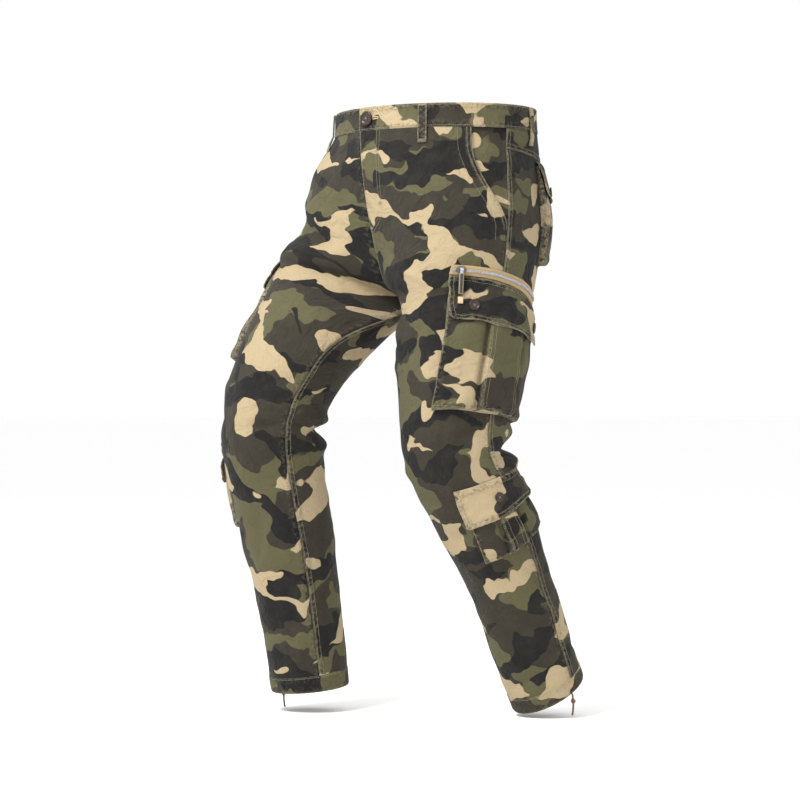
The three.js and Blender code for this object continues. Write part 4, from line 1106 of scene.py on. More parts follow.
def patch_surface(side, patch, across, below):
    across, below = np.broadcast_arrays(np.asarray(across, float), np.asarray(below, float))
    behind, down = patch_spot(patch, across, below)
    return surface(side, 90 + behind / tube_radius(down) / RADIANS, down), behind, down


def print_place(side, patch, behind, down, lift):
    """Where each point of a patch lies on the printed cloth, measured along the cloth."""
    half = behind.shape[1] // 2
    steps = np.hypot(np.diff(behind, axis=1), np.diff(lift, axis=1))
    u = np.concatenate([0 * behind[:, :1], np.cumsum(steps, 1)], 1)
    u = u - u[:, half:half + 1] + behind[:, half:half + 1]
    steps = np.hypot(np.diff(down, axis=0), np.diff(lift, axis=0))
    v = down[:1] + np.concatenate([0 * down[:1], np.cumsum(steps, 0)])
    du, dv = PATCH_PRINT[patch]
    return u + du + (0 if side == "left" else 640), v + dv


def pouch(side, patch, columns=140, rows=68):
    p = PATCHES[patch]
    width, height = p["back_top"] - p["front_top"], p["bottom"] - p["top"]
    across, below = np.meshgrid(packed(columns, 0.6), packed(rows, 0.8))
    seed = sum(map(ord, patch + side))
    rise = along(RISES[patch], "rise", below, "below")
    bulge = np.maximum(along(PROFILES[patch], "lift", across, "across"), 0) * rise
    free = smooth(0, 0.05, across) * smooth(1, 0.95, across) * smooth(1, 0.93, below) * smooth(0, 0.2, below)
    rumple = 1.9 * hills(across * width / 32, below * height / 38, seed)
    rumple += 1.1 * hills(across * width / 14, below * height / 15, seed + 1)
    rumple += 1.2 * np.exp(-(((below - 0.93) * height / 9) ** 2)) * np.sin(across * width / 5 + 2 * hills(across * 6, 0, seed))
    foot = (across == 0) | (across == 1) | (below == 1)
    lift = np.where(foot, SEWN_GAP, np.maximum(bulge + rumple * free + 1.6, SEWN_GAP + 0.5))
    inner_lift = np.where(foot, SEWN_GAP, np.maximum(lift - 1.6, SEWN_GAP + 0.1))
    waved = below + below**6 * 0.8 * np.sin(across * width / 13 + seed) / height
    base, behind, down = patch_surface(side, patch, across, waved)
    thin = CLOTH / width
    inner_base, _, inner_down = patch_surface(side, patch, mix(thin, 1 - thin, across), waved * (1 - CLOTH / height))
    edge = np.minimum(across, 1 - across) * width
    foot_edge = (1 - below) * height
    ridge = np.exp(-(((edge - 1.5) / 1.3) ** 2)) + np.exp(-(((foot_edge - 1.5) / 1.4) ** 2))
    sewn = np.exp(-(((edge - 4) / 4) ** 2)) + np.exp(-(((foot_edge - 5) / 5) ** 2))
    for spot in PLEATS.get(patch, ()):
        ridge = ridge + 0.7 * np.exp(-(((across - spot) * width / 0.8) ** 2))
        sewn = sewn + 0.5 * np.exp(-(((across - spot) * width / 4) ** 2))
    name = f"{patch}_{side}"
    place = print_place(side, patch, behind, down, lift)
    shell(
        name + "_cloth", layer(side, base, down, lift), layer(side, inner_base, inner_down, inner_lift),
        place, 0.75 * ridge, name, sewn,
    )


def flap(side, patch, columns=110, rows=34):
    p = PATCHES[patch]
    width, height = p["back_top"] - p["front_top"], p["bottom"] - p["top"]
    across, below = np.meshgrid(packed(columns, 0.8), packed(rows, 0.7))
    seed = sum(map(ord, patch + side))
    corner = 5 / height * np.exp(-((np.minimum(across, 1 - across) * width / 3.2) ** 2))
    reach = below * (1 - corner) + 1.2 / height * below * np.sin(across * width / 11 + seed)
    base, behind, down = patch_surface(side, patch, across, reach)
    curl = below**2 * (2.2 * hills(across * width / 34, 0.5, seed) + 0.5 * np.sin(across * width / 6.5 + seed))
    middle = smooth(0.1, 0.35, below) * smooth(1, 0.8, below)
    curl = curl + middle * (1.3 * hills(across * width / 42, below * height / 9, seed + 2))
    gather = np.sin(across * width * 2 * math.pi / 7.5 + 3 * hills(across * width / 20, 0.5, seed + 3))
    curl = curl + 0.7 * gather * np.exp(-(((below * height - 9) / 6) ** 2))
    bottom, edge = (1 - below) * height, np.minimum(across, 1 - across) * width
    rim = np.minimum(bottom, edge)
    ripple = pucker(across * width + below * height, rim, 5) * (1 - np.exp(-((below * height / 8) ** 2)))
    inner_lift = along(FLAP_LIFTS[patch], "lift", below, "below") + curl + 0.5 * ripple
    lift = inner_lift + 2.2 + ripple - 0.8 * np.exp(-((rim / 1.0) ** 2))
    lift = lift - 1.0 * np.exp(-((below * height / 1.4) ** 2))
    worn = 0.95 * np.exp(-((rim / 1.5) ** 2)) + 0.25 * np.exp(-(((rim - 7.5) / 1.2) ** 2))
    worn = worn + 0.4 * np.exp(-((below * height / 1.6) ** 2))
    sewn = beside_seam(rim) + beside_seam(below * height)
    name = f"{patch}_{side}"
    shell(
        name + "_cloth", layer(side, base, down, lift), layer(side, base, down, np.minimum(inner_lift, lift - 0.9)),
        print_place(side, patch, behind, down, lift), worn, name, sewn,
    )


def patch_line(side, patch, across, below, kind, piece, height=0.16):
    """A line of sewing along shares of a patch."""
    (points, normals), _, _ = patch_surface(side, patch, across, below)
    lifts = FLAP_LIFTS.get(patch)
    if lifts is not None:
        points = points + normals * along(lifts, "lift", np.broadcast_to(below, normals.shape[:-1]), "below")[..., None]
    elif patch in PROFILES:
        bulge = along(PROFILES[patch], "lift", np.broadcast_to(across, normals.shape[:-1]), "across")
        points = points + normals * (bulge * along(RISES[patch], "rise", np.broadcast_to(below, normals.shape[:-1]), "below"))[..., None]
    sew(kind, piece, points, normals, height)


def sew_flap(side, patch):
    p = PATCHES[patch]
    width, height = p["back_top"] - p["front_top"], p["bottom"] - p["top"]
    piece = f"{patch}_{side}_cloth"
    kind = "seams_" + side
    for inset in (2.2, 7.8):
        a, b = inset / width, 1 - inset / height
        around = [(a, 0.03), (a, b), (1 - a, b), (1 - a, 0.03)]
        line = polyline(around, 2.5 / width, 2.5 / height)
        patch_line(side, patch, line[:, 0], line[:, 1], kind, piece)
    for below in (2.4 / height, 8 / height):
        across = np.linspace(0.015, 0.985, int(width / 2.5))
        patch_line(side, patch, across, np.full(across.shape, below), kind, piece)


def polyline(corners, across_step, below_step):
    """Points along straight stretches between corners."""
    made = []
    for (a0, b0), (a1, b1) in zip(corners[:-1], corners[1:]):
        count = max(2, int(max(abs(a1 - a0) / across_step, abs(b1 - b0) / below_step)))
        t = np.linspace(0, 1, count, endpoint=False)[:, None]
        made.append(mix(np.array([[a0, b0]]), np.array([[a1, b1]]), t))
    made.append(np.array([corners[-1]]))
    return np.concatenate(made)


def sew_pouch(side, patch):
    p = PATCHES[patch]
    width, height = p["back_top"] - p["front_top"], p["bottom"] - p["top"]
    piece = f"{patch}_{side}_cloth"
    kind = "seams_" + side
    below = np.linspace(0.16, 0.97, int(height * 0.8 / 2.5))
    for across in (3.4 / width, 1 - 3.4 / width):
        patch_line(side, patch, np.full(below.shape, across), below, kind, piece)
    row = np.linspace(0.03, 0.97, int(width / 2.5))
    patch_line(side, patch, row, np.full(row.shape, 1 - 4.5 / height), kind, piece)
    for spot in PLEATS.get(patch, ()):
        for beside in (1.6, 6.4):
            across = spot + (beside if spot < 0.5 else -beside) / width
            patch_line(side, patch, np.full(below.shape, across), below, kind, piece)


# Buttons and buttonholes
HOLES = 4


def button_template():
    """A turned button with a raised rim, a sunken middle and four holes, for a radius of 1."""
    outline = [(0.0, 0), (0.86, 0), (0.97, 0.05), (1.0, 0.13), (0.99, 0.24), (0.93, 0.31), (0.84, 0.33),
               (0.74, 0.30), (0.67, 0.22), (0.60, 0.185), (0.3, 0.18), (0.0, 0.19)]
    steps = 40
    points, faces, ring = [(0, 0, outline[0][1])], [], [0]
    for r, h in outline[1:-1]:
        for k in range(steps):
            turn = 2 * math.pi * k / steps
            points.append((r * math.cos(turn), r * math.sin(turn), h))
            ring.append(float(smooth(0.56, 0.74, r)))
    points.append((0, 0, outline[-1][1]))
    ring.append(0)
    top = len(points) - 1
    for k in range(steps):
        n = (k + 1) % steps
        faces.append((0, 1 + n, 1 + k))
        for j in range(len(outline) - 3):
            a, b = 1 + j * steps, 1 + (j + 1) * steps
            faces.append((a + k, a + n, b + n, b + k))
        last = 1 + (len(outline) - 3) * steps
        faces.append((last + k, last + n, top))
    mesh = bpy.data.meshes.new("button_shape")
    mesh.from_pydata(points, [], faces)
    set_values(mesh, "ring", ring)
    body = bpy.data.objects.new("button_shape", mesh)
    bpy.context.scene.collection.objects.link(body)
    drill = bpy.data.meshes.new("button_holes")
    tool = bmesh.new()
    for k in range(HOLES):
        turn = math.pi / 4 + k * math.pi / 2
        place = Matrix.Translation((0.21 * math.cos(turn), 0.21 * math.sin(turn), 0.15))
        bmesh.ops.create_cone(tool, cap_ends=True, segments=10, radius1=0.085, radius2=0.085, depth=0.6, matrix=place)
    tool.to_mesh(drill)
    tool.free()
    cutter = bpy.data.objects.new("button_holes", drill)
    bpy.context.scene.collection.objects.link(cutter)
    cut = body.modifiers.new("cut", "BOOLEAN")
    cut.operation = "DIFFERENCE"
    cut.solver = "EXACT"
    cut.object = cutter
    made = bpy.data.meshes.new_from_object(body.evaluated_get(bpy.context.evaluated_depsgraph_get()))
    bpy.data.objects.remove(body)
    bpy.data.objects.remove(cutter)
    return made


BUTTON_SHAPE = button_template()


def frame_at(point, x, z):
    """A matrix in millimetres with its Z away from the cloth."""
    z = unit(z)
    x = unit(x - z * (x @ z))
    y = np.cross(z, x)
    made = Matrix.Identity(4)
    for row in range(3):
        made[row][0], made[row][1], made[row][2], made[row][3] = x[row], y[row], z[row], point[row]
    return made


def patch_frame(side, patch, across, below, lift):
    (point, normal), _, _ = patch_surface(side, patch, np.array([across, across + 0.01]), np.array([below, below]))
    along_x = point[1] - point[0]
    return frame_at(point[0] + normal[0] * lift, along_x, normal[0])


def button(name, radius, place, node):
    mesh = BUTTON_SHAPE.copy()
    mesh.name = name
    mesh.materials.clear()
    mesh.materials.append(BUTTON)
    scale = Matrix.Diagonal((radius, radius, radius * 0.95, 1))
    mesh.transform(Matrix.Scale(MM, 4) @ place @ scale)
    mesh.shade_smooth()
    mesh.set_sharp_from_angle(angle=math.radians(50))
    piece = bpy.data.objects.new(name, mesh)
    bpy.context.scene.collection.objects.link(piece)
    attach(piece, "garment")
    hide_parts(node)
    lines = SEWING.setdefault("button_threads", [])
    up = np.array(place.to_3x3() @ Vector((0, 0, 1)))
    for turn in (45, 135):
        ends = []
        for sign in (-1, 1):
            spot = Vector((
                sign * 0.21 * radius * math.cos(math.radians(turn)),
                sign * 0.21 * radius * math.sin(math.radians(turn)),
                0.24 * radius,
            ))
            ends.append(np.array(place @ spot) * MM)
        lines.append(([ends[0], ends[1]], [up, up]))


def buttonhole(piece, place, length, width=2.6, turn=0.0):
    """A ring of close stitches round a slot, on the piece under it."""
    count = 44
    line, normals = [], []
    flat = place.to_3x3()
    up = np.array(flat @ Vector((0, 0, 1)))
    for k in range(count + 1):
        angle = 2 * math.pi * k / count
        x = (length / 2 - width / 2) * np.sign(math.cos(angle)) * min(1, abs(math.cos(angle)) * 3) + width / 2 * math.cos(angle)
        y = width / 2 * math.sin(angle)
        cos, sin = math.cos(math.radians(turn)), math.sin(math.radians(turn))
        spot = place @ Vector((x * cos - y * sin, x * sin + y * cos, 0))
        line.append(np.array(spot))
        normals.append(up)
    sew("buttonholes", piece, line, normals, 0.1)


# Waistband and belt loops
BAND_LIFT = 1.0
BAND_CLOTH = 2.6
BAND_START = -4
BAND_UNDERLAP = 35
LOOP_WIDTH = 14
LOOP_TURNS = {"front_left": 40, "side_left": 114, "back": 180, "side_right": 246, "front_right": 320}
LOOP_LIFTS = table(
    "down lift", (0.6, 1.2), (4, 1.9), (18, 2.2), (36, 2.1), (50, 1.8), (56, 0.9), (61, 0.7),
)


def band_point(turn, down):
    """A point of the waistband's line and its outward direction. turn runs round through the left side."""
    turn, down = np.broadcast_arrays(np.asarray(turn, float), np.asarray(down, float))
    width, depth = along(CUT, "width", down), along(CUT, "depth", down)
    sin, cos = np.sin(turn * RADIANS), np.cos(turn * RADIANS)
    out = unit(np.stack([sin / width, -cos / depth, 0 * sin], -1))
    return np.stack([width * sin, -depth * cos, -down], -1), out


def waistband():
    degree = lambda x: math.degrees(math.asin(x / CUT["width"][0]))
    start, end = degree(BAND_START), 360 + degree(BAND_UNDERLAP)
    step_from, step_to = 360 + degree(-22), 360 + degree(-6)
    turn = np.linspace(start, end, 300)[None, :]
    down = (packed(14, 0.6) * BAND_HEIGHT)[:, None]
    turn, down = np.broadcast_arrays(turn, down)
    point, out = band_point(turn, down)
    around = turn * RADIANS * 165
    rim = np.minimum(down, BAND_HEIGHT - down)
    uneven = (0.9 * hills(around / 40, down / 30, 31) + 0.5 * hills(around / 12, down / 22, 32)) * smooth(0, 8, rim)
    ripple = pucker(around, down, 6) * 0.8 + pucker(around, BAND_HEIGHT - down, 6) * 0.8
    under = (BAND_CLOTH + SEAM_GAP) * smooth(step_from, step_to, turn)
    rounded = -0.7 * np.exp(-((rim / 1.1) ** 2))
    lap = -0.6 * np.exp(-(((turn - start) * RADIANS * 181 / 1.2) ** 2))
    outer = point + out * (BAND_LIFT + uneven + ripple + rounded + lap - under)[..., None]
    inner = point + out * (BAND_LIFT - BAND_CLOTH + 0.2 * uneven - rounded * 0.4 - under)[..., None]
    worn = 0.6 * np.exp(-((down / 1.8) ** 2)) + 0.4 * np.exp(-(((BAND_HEIGHT - down) / 1.5) ** 2))
    worn = worn + 0.8 * np.exp(-(((turn - start) * RADIANS * 181 / 1.6) ** 2))
    sewn = 0.8 * beside_seam(rim)
    shell("waistband_cloth", outer, inner, (around + 4640, down + 260), worn, "waistband", sewn)
    for height in (2.6, BAND_HEIGHT - 2.8):
        line = np.linspace(start + 1, 360 + degree(-8), 380)
        spots, outs = band_point(line, np.full(line.shape, height))
        sew("seams_band", "waistband_cloth", spots, outs)
    line = np.linspace(2.6, BAND_HEIGHT - 2.8, 14)
    spots, outs = band_point(np.full(line.shape, start + 0.9), line)
    sew("seams_band", "waistband_cloth", spots, outs)


def belt_loop(name, turn):
    down = np.concatenate([np.linspace(0.6, 6, 8), np.linspace(8, 50, 16), np.linspace(51.5, 61, 9)])[:, None]
    offset = np.linspace(-1, 1, 11)[None, :] * LOOP_WIDTH / 2
    down, offset = np.broadcast_arrays(down, offset)
    angle = turn + offset / tube_radius(down) / RADIANS
    on_band, out = band_point(angle, down)
    legs = []
    for side in ("left", "right"):
        phi = angle if side == "left" else 360 - angle
        legs.append(surface(side, np.clip(phi, -60, 240), down))
    left = (angle <= 180)[..., None]
    on_leg, leg_out = (np.where(left, a, b) for a, b in zip(*legs))
    share = smooth(BAND_HEIGHT - 3, BAND_HEIGHT + 3, down)[..., None]
    point, out = mix(on_band, on_leg, share), unit(mix(out, leg_out, share))
    lift = along(LOOP_LIFTS, "lift", down)
    edge = LOOP_WIDTH / 2 - np.abs(offset)
    end = np.minimum(down - 0.6, 61 - down)
    crown = -0.7 * np.exp(-((edge / 1.1) ** 2)) - 0.7 * np.exp(-((end / 1.0) ** 2))
    crown = crown + 0.2 * np.sin(down / 1.4) * np.exp(-(((edge - 2.5) / 1.5) ** 2))
    outer = point + out * (lift + 2.4 + crown)[..., None]
    inner = point + out * lift[..., None]
    worn = 0.85 * np.exp(-((edge / 1.3) ** 2)) + 0.7 * np.exp(-((end / 1.6) ** 2))
    place = (offset + 4800 + turn * 7, down + 60)
    piece = f"belt_loop_{name}_cloth"
    shell(piece, outer, inner, place, worn, "belt_loop_" + name, 0.7)
    rows = slice(1, -1)
    for column in (1, -2):
        sew("seams_band", piece, outer[rows, column], out[rows, column])
    for row in (2, 3, 4, -3, -4, -5):
        sew("tacks", piece, outer[row, 1:-1], out[row, 1:-1])


# Zips over the thigh pockets
SLIDER_ACROSS = 0.09


def zip_piece(side):
    across, below = np.meshgrid(np.linspace(0, 1, 90), np.linspace(0, 1, 9))
    base, behind, down = patch_surface(side, "zip", across, below)
    wave = 0.25 * hills(across * 16, below * 2, 41)
    lift = 2.05 + wave - 0.5 * np.exp(-(((0.5 - np.abs(below - 0.5)) * 16 / 0.9) ** 2))
    name = "zip_tape_" + side
    shell(
        name + "_cloth", layer(side, base, down, lift), layer(side, base, down, np.full(lift.shape, 0.95)),
        (behind, down), 0, name, material=TAPE, slot="zip_tape",
    )
    run = np.linspace(0.012, 0.988, 120)
    lines = []
    for offset, start in ((-0.9, 0.0), (0.9, 1.1)):
        shares = run + start / 184
        (points, normals), _, _ = patch_surface(side, "zip", shares, np.full(run.shape, 0.5 + offset / 16))
        lines.append(([p * MM for p in points + normals * 3.0], list(normals)))
    rows_piece(
        f"zip_teeth_{side}_metal", lines, "tooth",
        {"Spacing": 2.2, "Along": 1.25, "Across": 2.7, "Height": 1.5, "Uneven": 0.03, "Seed": 3},
        METAL, node="zip_teeth_" + side, slot="zip_metal",
    )
    for below in (0.09, 0.24, 0.76, 0.91):
        line = np.linspace(0.01, 0.99, 76)
        kind = "seams_" + side if below in (0.09, 0.91) else "tape_lines_" + side
        patch_line(side, "zip", line, np.full(line.shape, below), kind, name + "_cloth", 0.12)


def rounded_copy(name, node, material, body, bevel=0.35, segments=2):
    """A carried-over hard piece with its edges rounded."""
    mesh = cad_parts[node].data.copy()
    mesh.name = name
    work = bmesh.new()
    work.from_mesh(mesh)
    bmesh.ops.remove_doubles(work, verts=work.verts, dist=1e-6)
    bmesh.ops.dissolve_limit(work, angle_limit=math.radians(4), verts=work.verts, edges=work.edges)
    work.to_mesh(mesh)
    work.free()
    mesh.materials.clear()
    mesh.materials.append(material)
    piece = bpy.data.objects.new(name, mesh)
    bpy.context.scene.collection.objects.link(piece)
    soften = piece.modifiers.new("soften", "BEVEL")
    soften.width = bevel * MM
    soften.segments = segments
    soften.limit_method = "ANGLE"
    soften.angle_limit = math.radians(35)
    soften.use_clamp_overlap = True
    made = bpy.data.meshes.new_from_object(piece.evaluated_get(bpy.context.evaluated_depsgraph_get()))
    piece.modifiers.remove(soften)
    piece.data = made
    made.shade_smooth()
    made.set_sharp_from_angle(angle=math.radians(45))
    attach(piece, body)
    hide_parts(node)
    return piece


def pull_strap(side):
    """The doubled strip of twill on a zip's pull, sewn along its edges and bowed by use."""
    node = "pull_strap_" + side
    corners = np.array([v.co[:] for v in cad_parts[node].data.vertices]) / MM
    centre = corners.mean(0)
    run, wide, out = np.linalg.svd(corners - centre)[2]
    run = run * -np.sign(run[2])
    out = out * np.sign(out[0]) * SIDES[side]
    length, width, depth = (np.ptp((corners - centre) @ axis) for axis in (run, wide, out))
    share, across = np.meshgrid(np.linspace(0, 1, 34), np.linspace(-1, 1, 13), indexing="ij")
    rim = np.minimum(width / 2 * (1 - np.abs(across)), length * np.minimum(share, 1 - share))
    bow = 0.7 * np.sin(math.pi * share) + 0.25 * hills(share * 6, across, 51)
    crown = depth / 2 - 0.9 * np.exp(-((rim / 0.8) ** 2)) - 0.3 * np.exp(-(((rim - 1.6) / 0.5) ** 2))
    flat = centre + run * (length * (share - 0.5))[..., None] + wide * (width / 2 * across)[..., None]
    outer, inner = flat + out * (bow + crown)[..., None], flat + out * (bow - crown)[..., None]
    worn = 0.95 * np.exp(-((rim / 0.9) ** 2))
    piece = f"pull_strap_{side}_cloth"
    shell(piece, outer, inner, (across, share), worn, node, 0, False, STRAP, "strap", "pull_" + side)
    for column in (2, -3):
        sew("straps_" + side, piece, outer[1:-1, column], np.broadcast_to(out, outer[1:-1, column].shape), 0.1)


def strap_material():
    made, tree, shader = new_material("dark_strap_twill", Sheen_Weight=0.05)
    spots = object_noise(tree, 380)
    dark = blended(tree, spots, (0.012, 0.012, 0.013, 1), (0.050, 0.046, 0.038, 1))
    tree.links.new(blended(tree, attribute(tree, "worn"), dark, WORN), shader.inputs["Base Color"])
    rough = new_node(tree, "ShaderNodeMapRange", {"Value": spots, "To Min": 0.75, "To Max": 0.95}).outputs[0]
    tree.links.new(rough, shader.inputs["Roughness"])
    raised = new_node(tree, "ShaderNodeBump", {
        "Strength": 0.6, "Distance": 0.0003, "Height": object_noise(tree, 1800),
    }).outputs[0]
    tree.links.new(raised, shader.inputs["Normal"])
    return made


STRAP = strap_material()


# Drawcords at the hems
CORD_RADIUS = 1.5
CORD_GAP = 1.1
CORD_DROP = 34.0
CORDS = {"left": (86, 2.0), "right": (64, -2.0)}


def tube(name, path, radius_at, strands, pitch, material, body, **declared):
    """A tube of twisted strands along a path that hangs nearly straight down."""
    count = 18
    rows = []
    run = 0.0
    for k, p in enumerate(path):
        if k:
            run += float(np.linalg.norm(p - path[k - 1]))
        turn = np.linspace(0, 2 * math.pi, count, endpoint=False)
        r = radius_at(k) * (1 + 0.09 * np.cos(strands * turn + 2 * math.pi * run / pitch))
        rows.append(np.stack([p[0] + r * np.cos(turn), p[1] + r * np.sin(turn), 0 * turn + p[2]], -1))
    points = np.concatenate(rows + [[path[0]], [path[-1]]])
    faces = []
    for j in range(len(path) - 1):
        for i in range(count):
            n = (i + 1) % count
            faces.append((j * count + i, j * count + n, (j + 1) * count + n, (j + 1) * count + i))
    first, last = len(points) - 2, len(points) - 1
    base = (len(path) - 1) * count
    for i in range(count):
        n = (i + 1) % count
        faces.append((first, n, i))
        faces.append((last, base + i, base + n))
    return mesh_piece(name, points, faces, material, body=body, **declared)


def drawcord(side):
    phi, sway = CORDS[side]
    (top, normal) = surface(side, np.array([float(phi)]), np.array([float(HEM_DOWN)]))
    top = top[0] - normal[0] * 1.2
    drop = np.linspace(0, CORD_DROP, 60)
    path = np.stack([0 * drop + top[0], top[1] + sway * np.sin(drop / CORD_DROP * math.pi), top[2] - CORD_GAP - drop], -1)
    frayed = lambda k: CORD_RADIUS * (0.85 if k == len(path) - 1 else 1)
    cord = tube(f"drawcord_{side}_cord", path, frayed, 3, 5.0, CORD, "garment", node="drawcord_" + side, slot="cord")
    knot_drop = np.linspace(7.6, 15.4, 22)
    lean = top[1] + sway * np.sin(knot_drop / CORD_DROP * math.pi)
    knot_path = np.stack([0 * knot_drop + top[0], lean, top[2] - CORD_GAP - knot_drop], -1)
    swell = lambda k: CORD_RADIUS * (1.0 + 1.55 * math.sin(math.pi * k / 21) ** 0.7 * (1 + 0.12 * math.sin(k * 1.4)))
    knot = tube(f"drawcord_{side}_knot", knot_path, swell, 2, 9.0, CORD, "garment", slot="cord")


# All the pieces
for side in ("left", "right"):
    front_panel(side)
    back_panel(side)
    yoke(side)
    pocket_facing(side)
    hem(side)
    for patch in ("cargo_pocket", "calf_pocket", "back_pocket"):
        pouch(side, patch)
        sew_pouch(side, patch)
    for patch in ("cargo_flap", "calf_flap", "back_flap"):
        flap(side, patch)
        sew_flap(side, patch)
    zip_piece(side)
    drawcord(side)
    rounded_copy(f"zip_slider_{side}_metal", "zip_slider_" + side, DARK_METAL, "garment")
    rounded_copy(f"zip_bridge_{side}_metal", "zip_bridge_" + side, DARK_METAL, "garment", 0.25)
    rounded_copy(f"pull_tab_{side}_metal", "pull_tab_" + side, METAL, "pull_" + side, 0.25)
    pull_strap(side)
    rounded_copy(f"pull_tip_{side}_tan", "pull_tip_" + side, TIP, "pull_" + side, 0.5)
waistband()
for name, turn in LOOP_TURNS.items():
    belt_loop(name, turn)

# Buttons and their holes
FLAP_BUTTONS = named_rows(
    "patch across below lift radius hole",
    ("cargo_button_front", "cargo_flap", 0.2, 0.66, 14.0, 8.5, 14),
    ("cargo_button_back", "cargo_flap", 0.86, 0.66, 14.0, 8.5, 14),
    ("calf_button", "calf_flap", 0.48, 0.5, 10.0, 8.0, 15),
    ("back_button", "back_flap", 0.5, 0.72, 16.4, 8.0, 14),
)
for side in ("left", "right"):
    for name, row in FLAP_BUTTONS.items():
        place = patch_frame(side, row["patch"], row["across"], row["below"], row["lift"])
        button(f"{name}_{side}_resin", row["radius"], place, f"{name}_{side}")
        height = PATCHES[row["patch"]]["bottom"] - PATCHES[row["patch"]]["top"]
        above = patch_frame(side, row["patch"], row["across"], row["below"] - 8 / height, row["lift"])
        buttonhole(f"{row['patch']}_{side}_cloth", above, row["hole"], turn=90)


def waist_button():
    point, out = band_point(np.array([6.0, 7.0]), np.array([18.0, 18.0]))
    tilted = band_point(np.array([18.0]), np.array([18.0]))[1][0]
    place = frame_at(point[0] + out[0] * (BAND_LIFT + 1.8), point[1] - point[0], tilted)
    button("waist_button_resin", 11.2, place, "waist_button")
    point, out = band_point(np.array([9.2, 10.2]), np.array([18.0, 18.0]))
    buttonhole("waistband_cloth", frame_at(point[0] + out[0] * 2, point[1] - point[0], out[0]), 27, 3.0)


waist_button()


# Lines of sewing on the panels
def panel_line(side, piece, phi, down, kind=None, height=0.16):
    points, normals = surface(side, phi, down)
    sew(kind or "seams_" + side, piece, points, normals, height)


def beside(side, down, first_edge, distance):
    """phi at a distance in millimetres from an edge of a panel."""
    return first_edge + distance / tube_radius(down) / RADIANS


for side in ("left", "right"):
    back, front, top = f"back_{side}_cloth", f"front_{side}_cloth", f"yoke_{side}_cloth"
    run = np.arange(72.0, 936.0, 2.4)
    inseam = np.arange(306.0, 936.0, 2.4)
    for off in (1.9, 7.3):
        panel_line(side, back, beside(side, run, back_edges(side, run)[0], off), run)
        panel_line(side, back, beside(side, inseam, back_edges(side, inseam)[1], -off), inseam)
        short = np.arange(39.0, 68.0, 2.4)
        panel_line(side, top, beside(side, short, back_edges(side, short)[0], off), short)
        phi_run = np.linspace(91.5, 180 - inner_phi(side, np.array(80.0)) - 1, 130)
        panel_line(side, top, phi_run, yoke_line(phi_run) - off)
        mouth = np.arange(39.0, 196.0, 2.4)
        panel_line(side, front, beside(side, mouth, front_edges(side, mouth)[1], -off), mouth)
        if side == "left":
            rise_run = np.arange(104.0, 292.0, 2.4)
            panel_line(side, back, beside(side, rise_run, back_edges(side, rise_run)[1], -off), rise_run)
            low = np.arange(200.0, 294.0, 2.4)
            panel_line(side, front, beside(side, low, front_edges(side, low)[0], off), low)
    bag = np.arange(39.0, 214.0, 2.4)
    inset = 23 + 0.0 * bag
    panel_line(side, front, beside(side, bag, front_edges(side, bag)[1], -inset), bag)
    ring = np.linspace(-88, 268, 170)
    panel_line(side, f"hem_{side}_cloth", ring, np.full(ring.shape, HEM_DOWN - HEM_HEIGHT + 2.4))

# The fly's curved sewing on the left front, and its tacks
for off in (41.0, 35.5):
    straight = np.arange(39.0, 150.0, 2.4)
    bend = np.linspace(0, math.pi / 2, 22)[1:]
    down = np.concatenate([straight, 150 + (44 - (41 - off)) * np.sin(bend)])
    across = np.concatenate([np.full(straight.shape, off), 3 + (off - 3) * np.cos(bend)])
    panel_line("left", "front_left_cloth", beside("left", down, front_edges("left", down)[0], across), down)
for down_at, across_from, across_to in ((186, 2, 9), (150, 33, 42)):
    across = np.linspace(across_from, across_to, 5)
    for row in range(4):
        down = np.full(across.shape, down_at + row * 1.1)
        panel_line("left", "front_left_cloth", beside("left", down, front_edges("left", down)[0], across), down, "tacks")

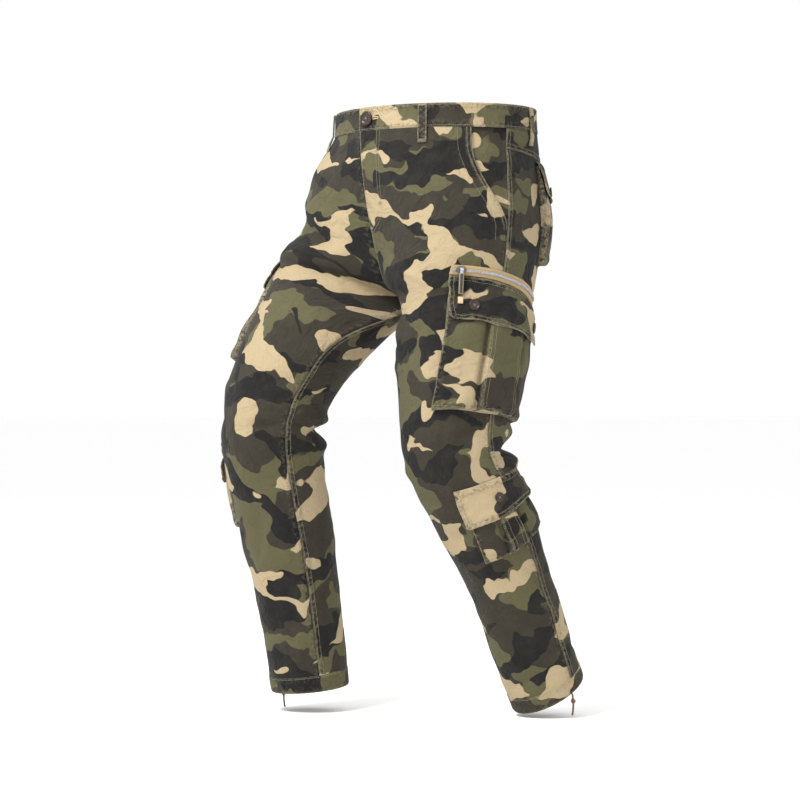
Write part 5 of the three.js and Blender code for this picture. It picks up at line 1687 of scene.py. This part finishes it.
THREAD_SIZES = {"Spacing": 3.1, "Along": 2.7, "Across": 0.62, "Height": 0.5, "Uneven": 0.07, "Seed": 1}
for kind in ("seams_left", "seams_right", "seams_band"):
    rows_piece(kind, SEWING[kind], "stitch", THREAD_SIZES, THREAD, slot="twill")
rows_piece(
    "tacks", SEWING["tacks"], "stitch",
    {"Spacing": 0.7, "Along": 0.9, "Across": 0.9, "Height": 0.7, "Uneven": 0.2, "Seed": 2}, THREAD, slot="twill",
)
for side in ("left", "right"):
    rows_piece(
        "strap_lines_" + side, SEWING["straps_" + side], "stitch",
        {"Spacing": 1.9, "Along": 1.6, "Across": 0.5, "Height": 0.45, "Uneven": 0.06, "Seed": 7}, TAN_THREAD,
        "pull_" + side, slot="strap",
    )
    rows_piece(
        "tape_lines_" + side, SEWING["tape_lines_" + side], "stitch",
        {"Spacing": 1.5, "Along": 1.7, "Across": 0.5, "Height": 0.4, "Uneven": 0.03, "Seed": 6}, TAPE, slot="zip_tape",
    )
rows_piece(
    "buttonholes", SEWING["buttonholes"], "stitch",
    {"Spacing": 0.62, "Along": 0.72, "Across": 2.1, "Height": 0.9, "Uneven": 0.12, "Seed": 4}, TAN_THREAD, slot="twill",
)
rows_piece(
    "button_threads", SEWING["button_threads"], "stitch",
    {"Spacing": 0.9, "Along": 1.3, "Across": 0.8, "Height": 0.7, "Uneven": 0.1, "Seed": 5}, THREAD, slot="button",
)


# Floor and light
def floor():
    size = 60.0
    level = min(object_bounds()[0][2], cad_box[0][2]) - 0.0005
    mesh = bpy.data.meshes.new("floor")
    corners = [(-size, -size, level), (size, -size, level), (size, size, level), (-size, size, level)]
    mesh.from_pydata(corners, [], [(0, 1, 2, 3)])
    made, tree, shader = new_material("pale_floor", Roughness=0.9)
    shader.inputs["Base Color"].default_value = (0.985, 0.985, 0.985, 1)
    mesh.materials.append(made)
    piece = bpy.data.objects.new("floor", mesh)
    bpy.context.scene.collection.objects.link(piece)
    piece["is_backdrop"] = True


def soft_light(name, power, size, azimuth, elevation, distance):
    data = bpy.data.lights.new(name, "AREA")
    data.shape = "DISK"
    data.size = size
    data.energy = power
    lamp = bpy.data.objects.new(name, data)
    turn, rise = math.radians(azimuth), math.radians(elevation)
    aim = Vector((0, 0, -0.45))
    away = Vector((math.sin(turn) * math.cos(rise), -math.cos(turn) * math.cos(rise), math.sin(rise)))
    lamp.location = aim + away * distance
    lamp.rotation_euler = away.to_track_quat("Z", "Y").to_euler()
    bpy.context.scene.collection.objects.link(lamp)


floor()
soft_light("key", 84, 1.0, 12, 46, 2.8)
soft_light("fill", 6, 2.4, 110, 22, 3.2)
soft_light("back_light", 22, 2.0, 225, 42, 3.2)
world = bpy.data.worlds.new("studio")
world.use_nodes = True
world.node_tree.nodes["Background"].inputs["Color"].default_value = (1, 1, 1, 1)
world.node_tree.nodes["Background"].inputs["Strength"].default_value = 1.0
bpy.context.scene.world = world
bpy.context.scene.view_settings.view_transform = "Standard"
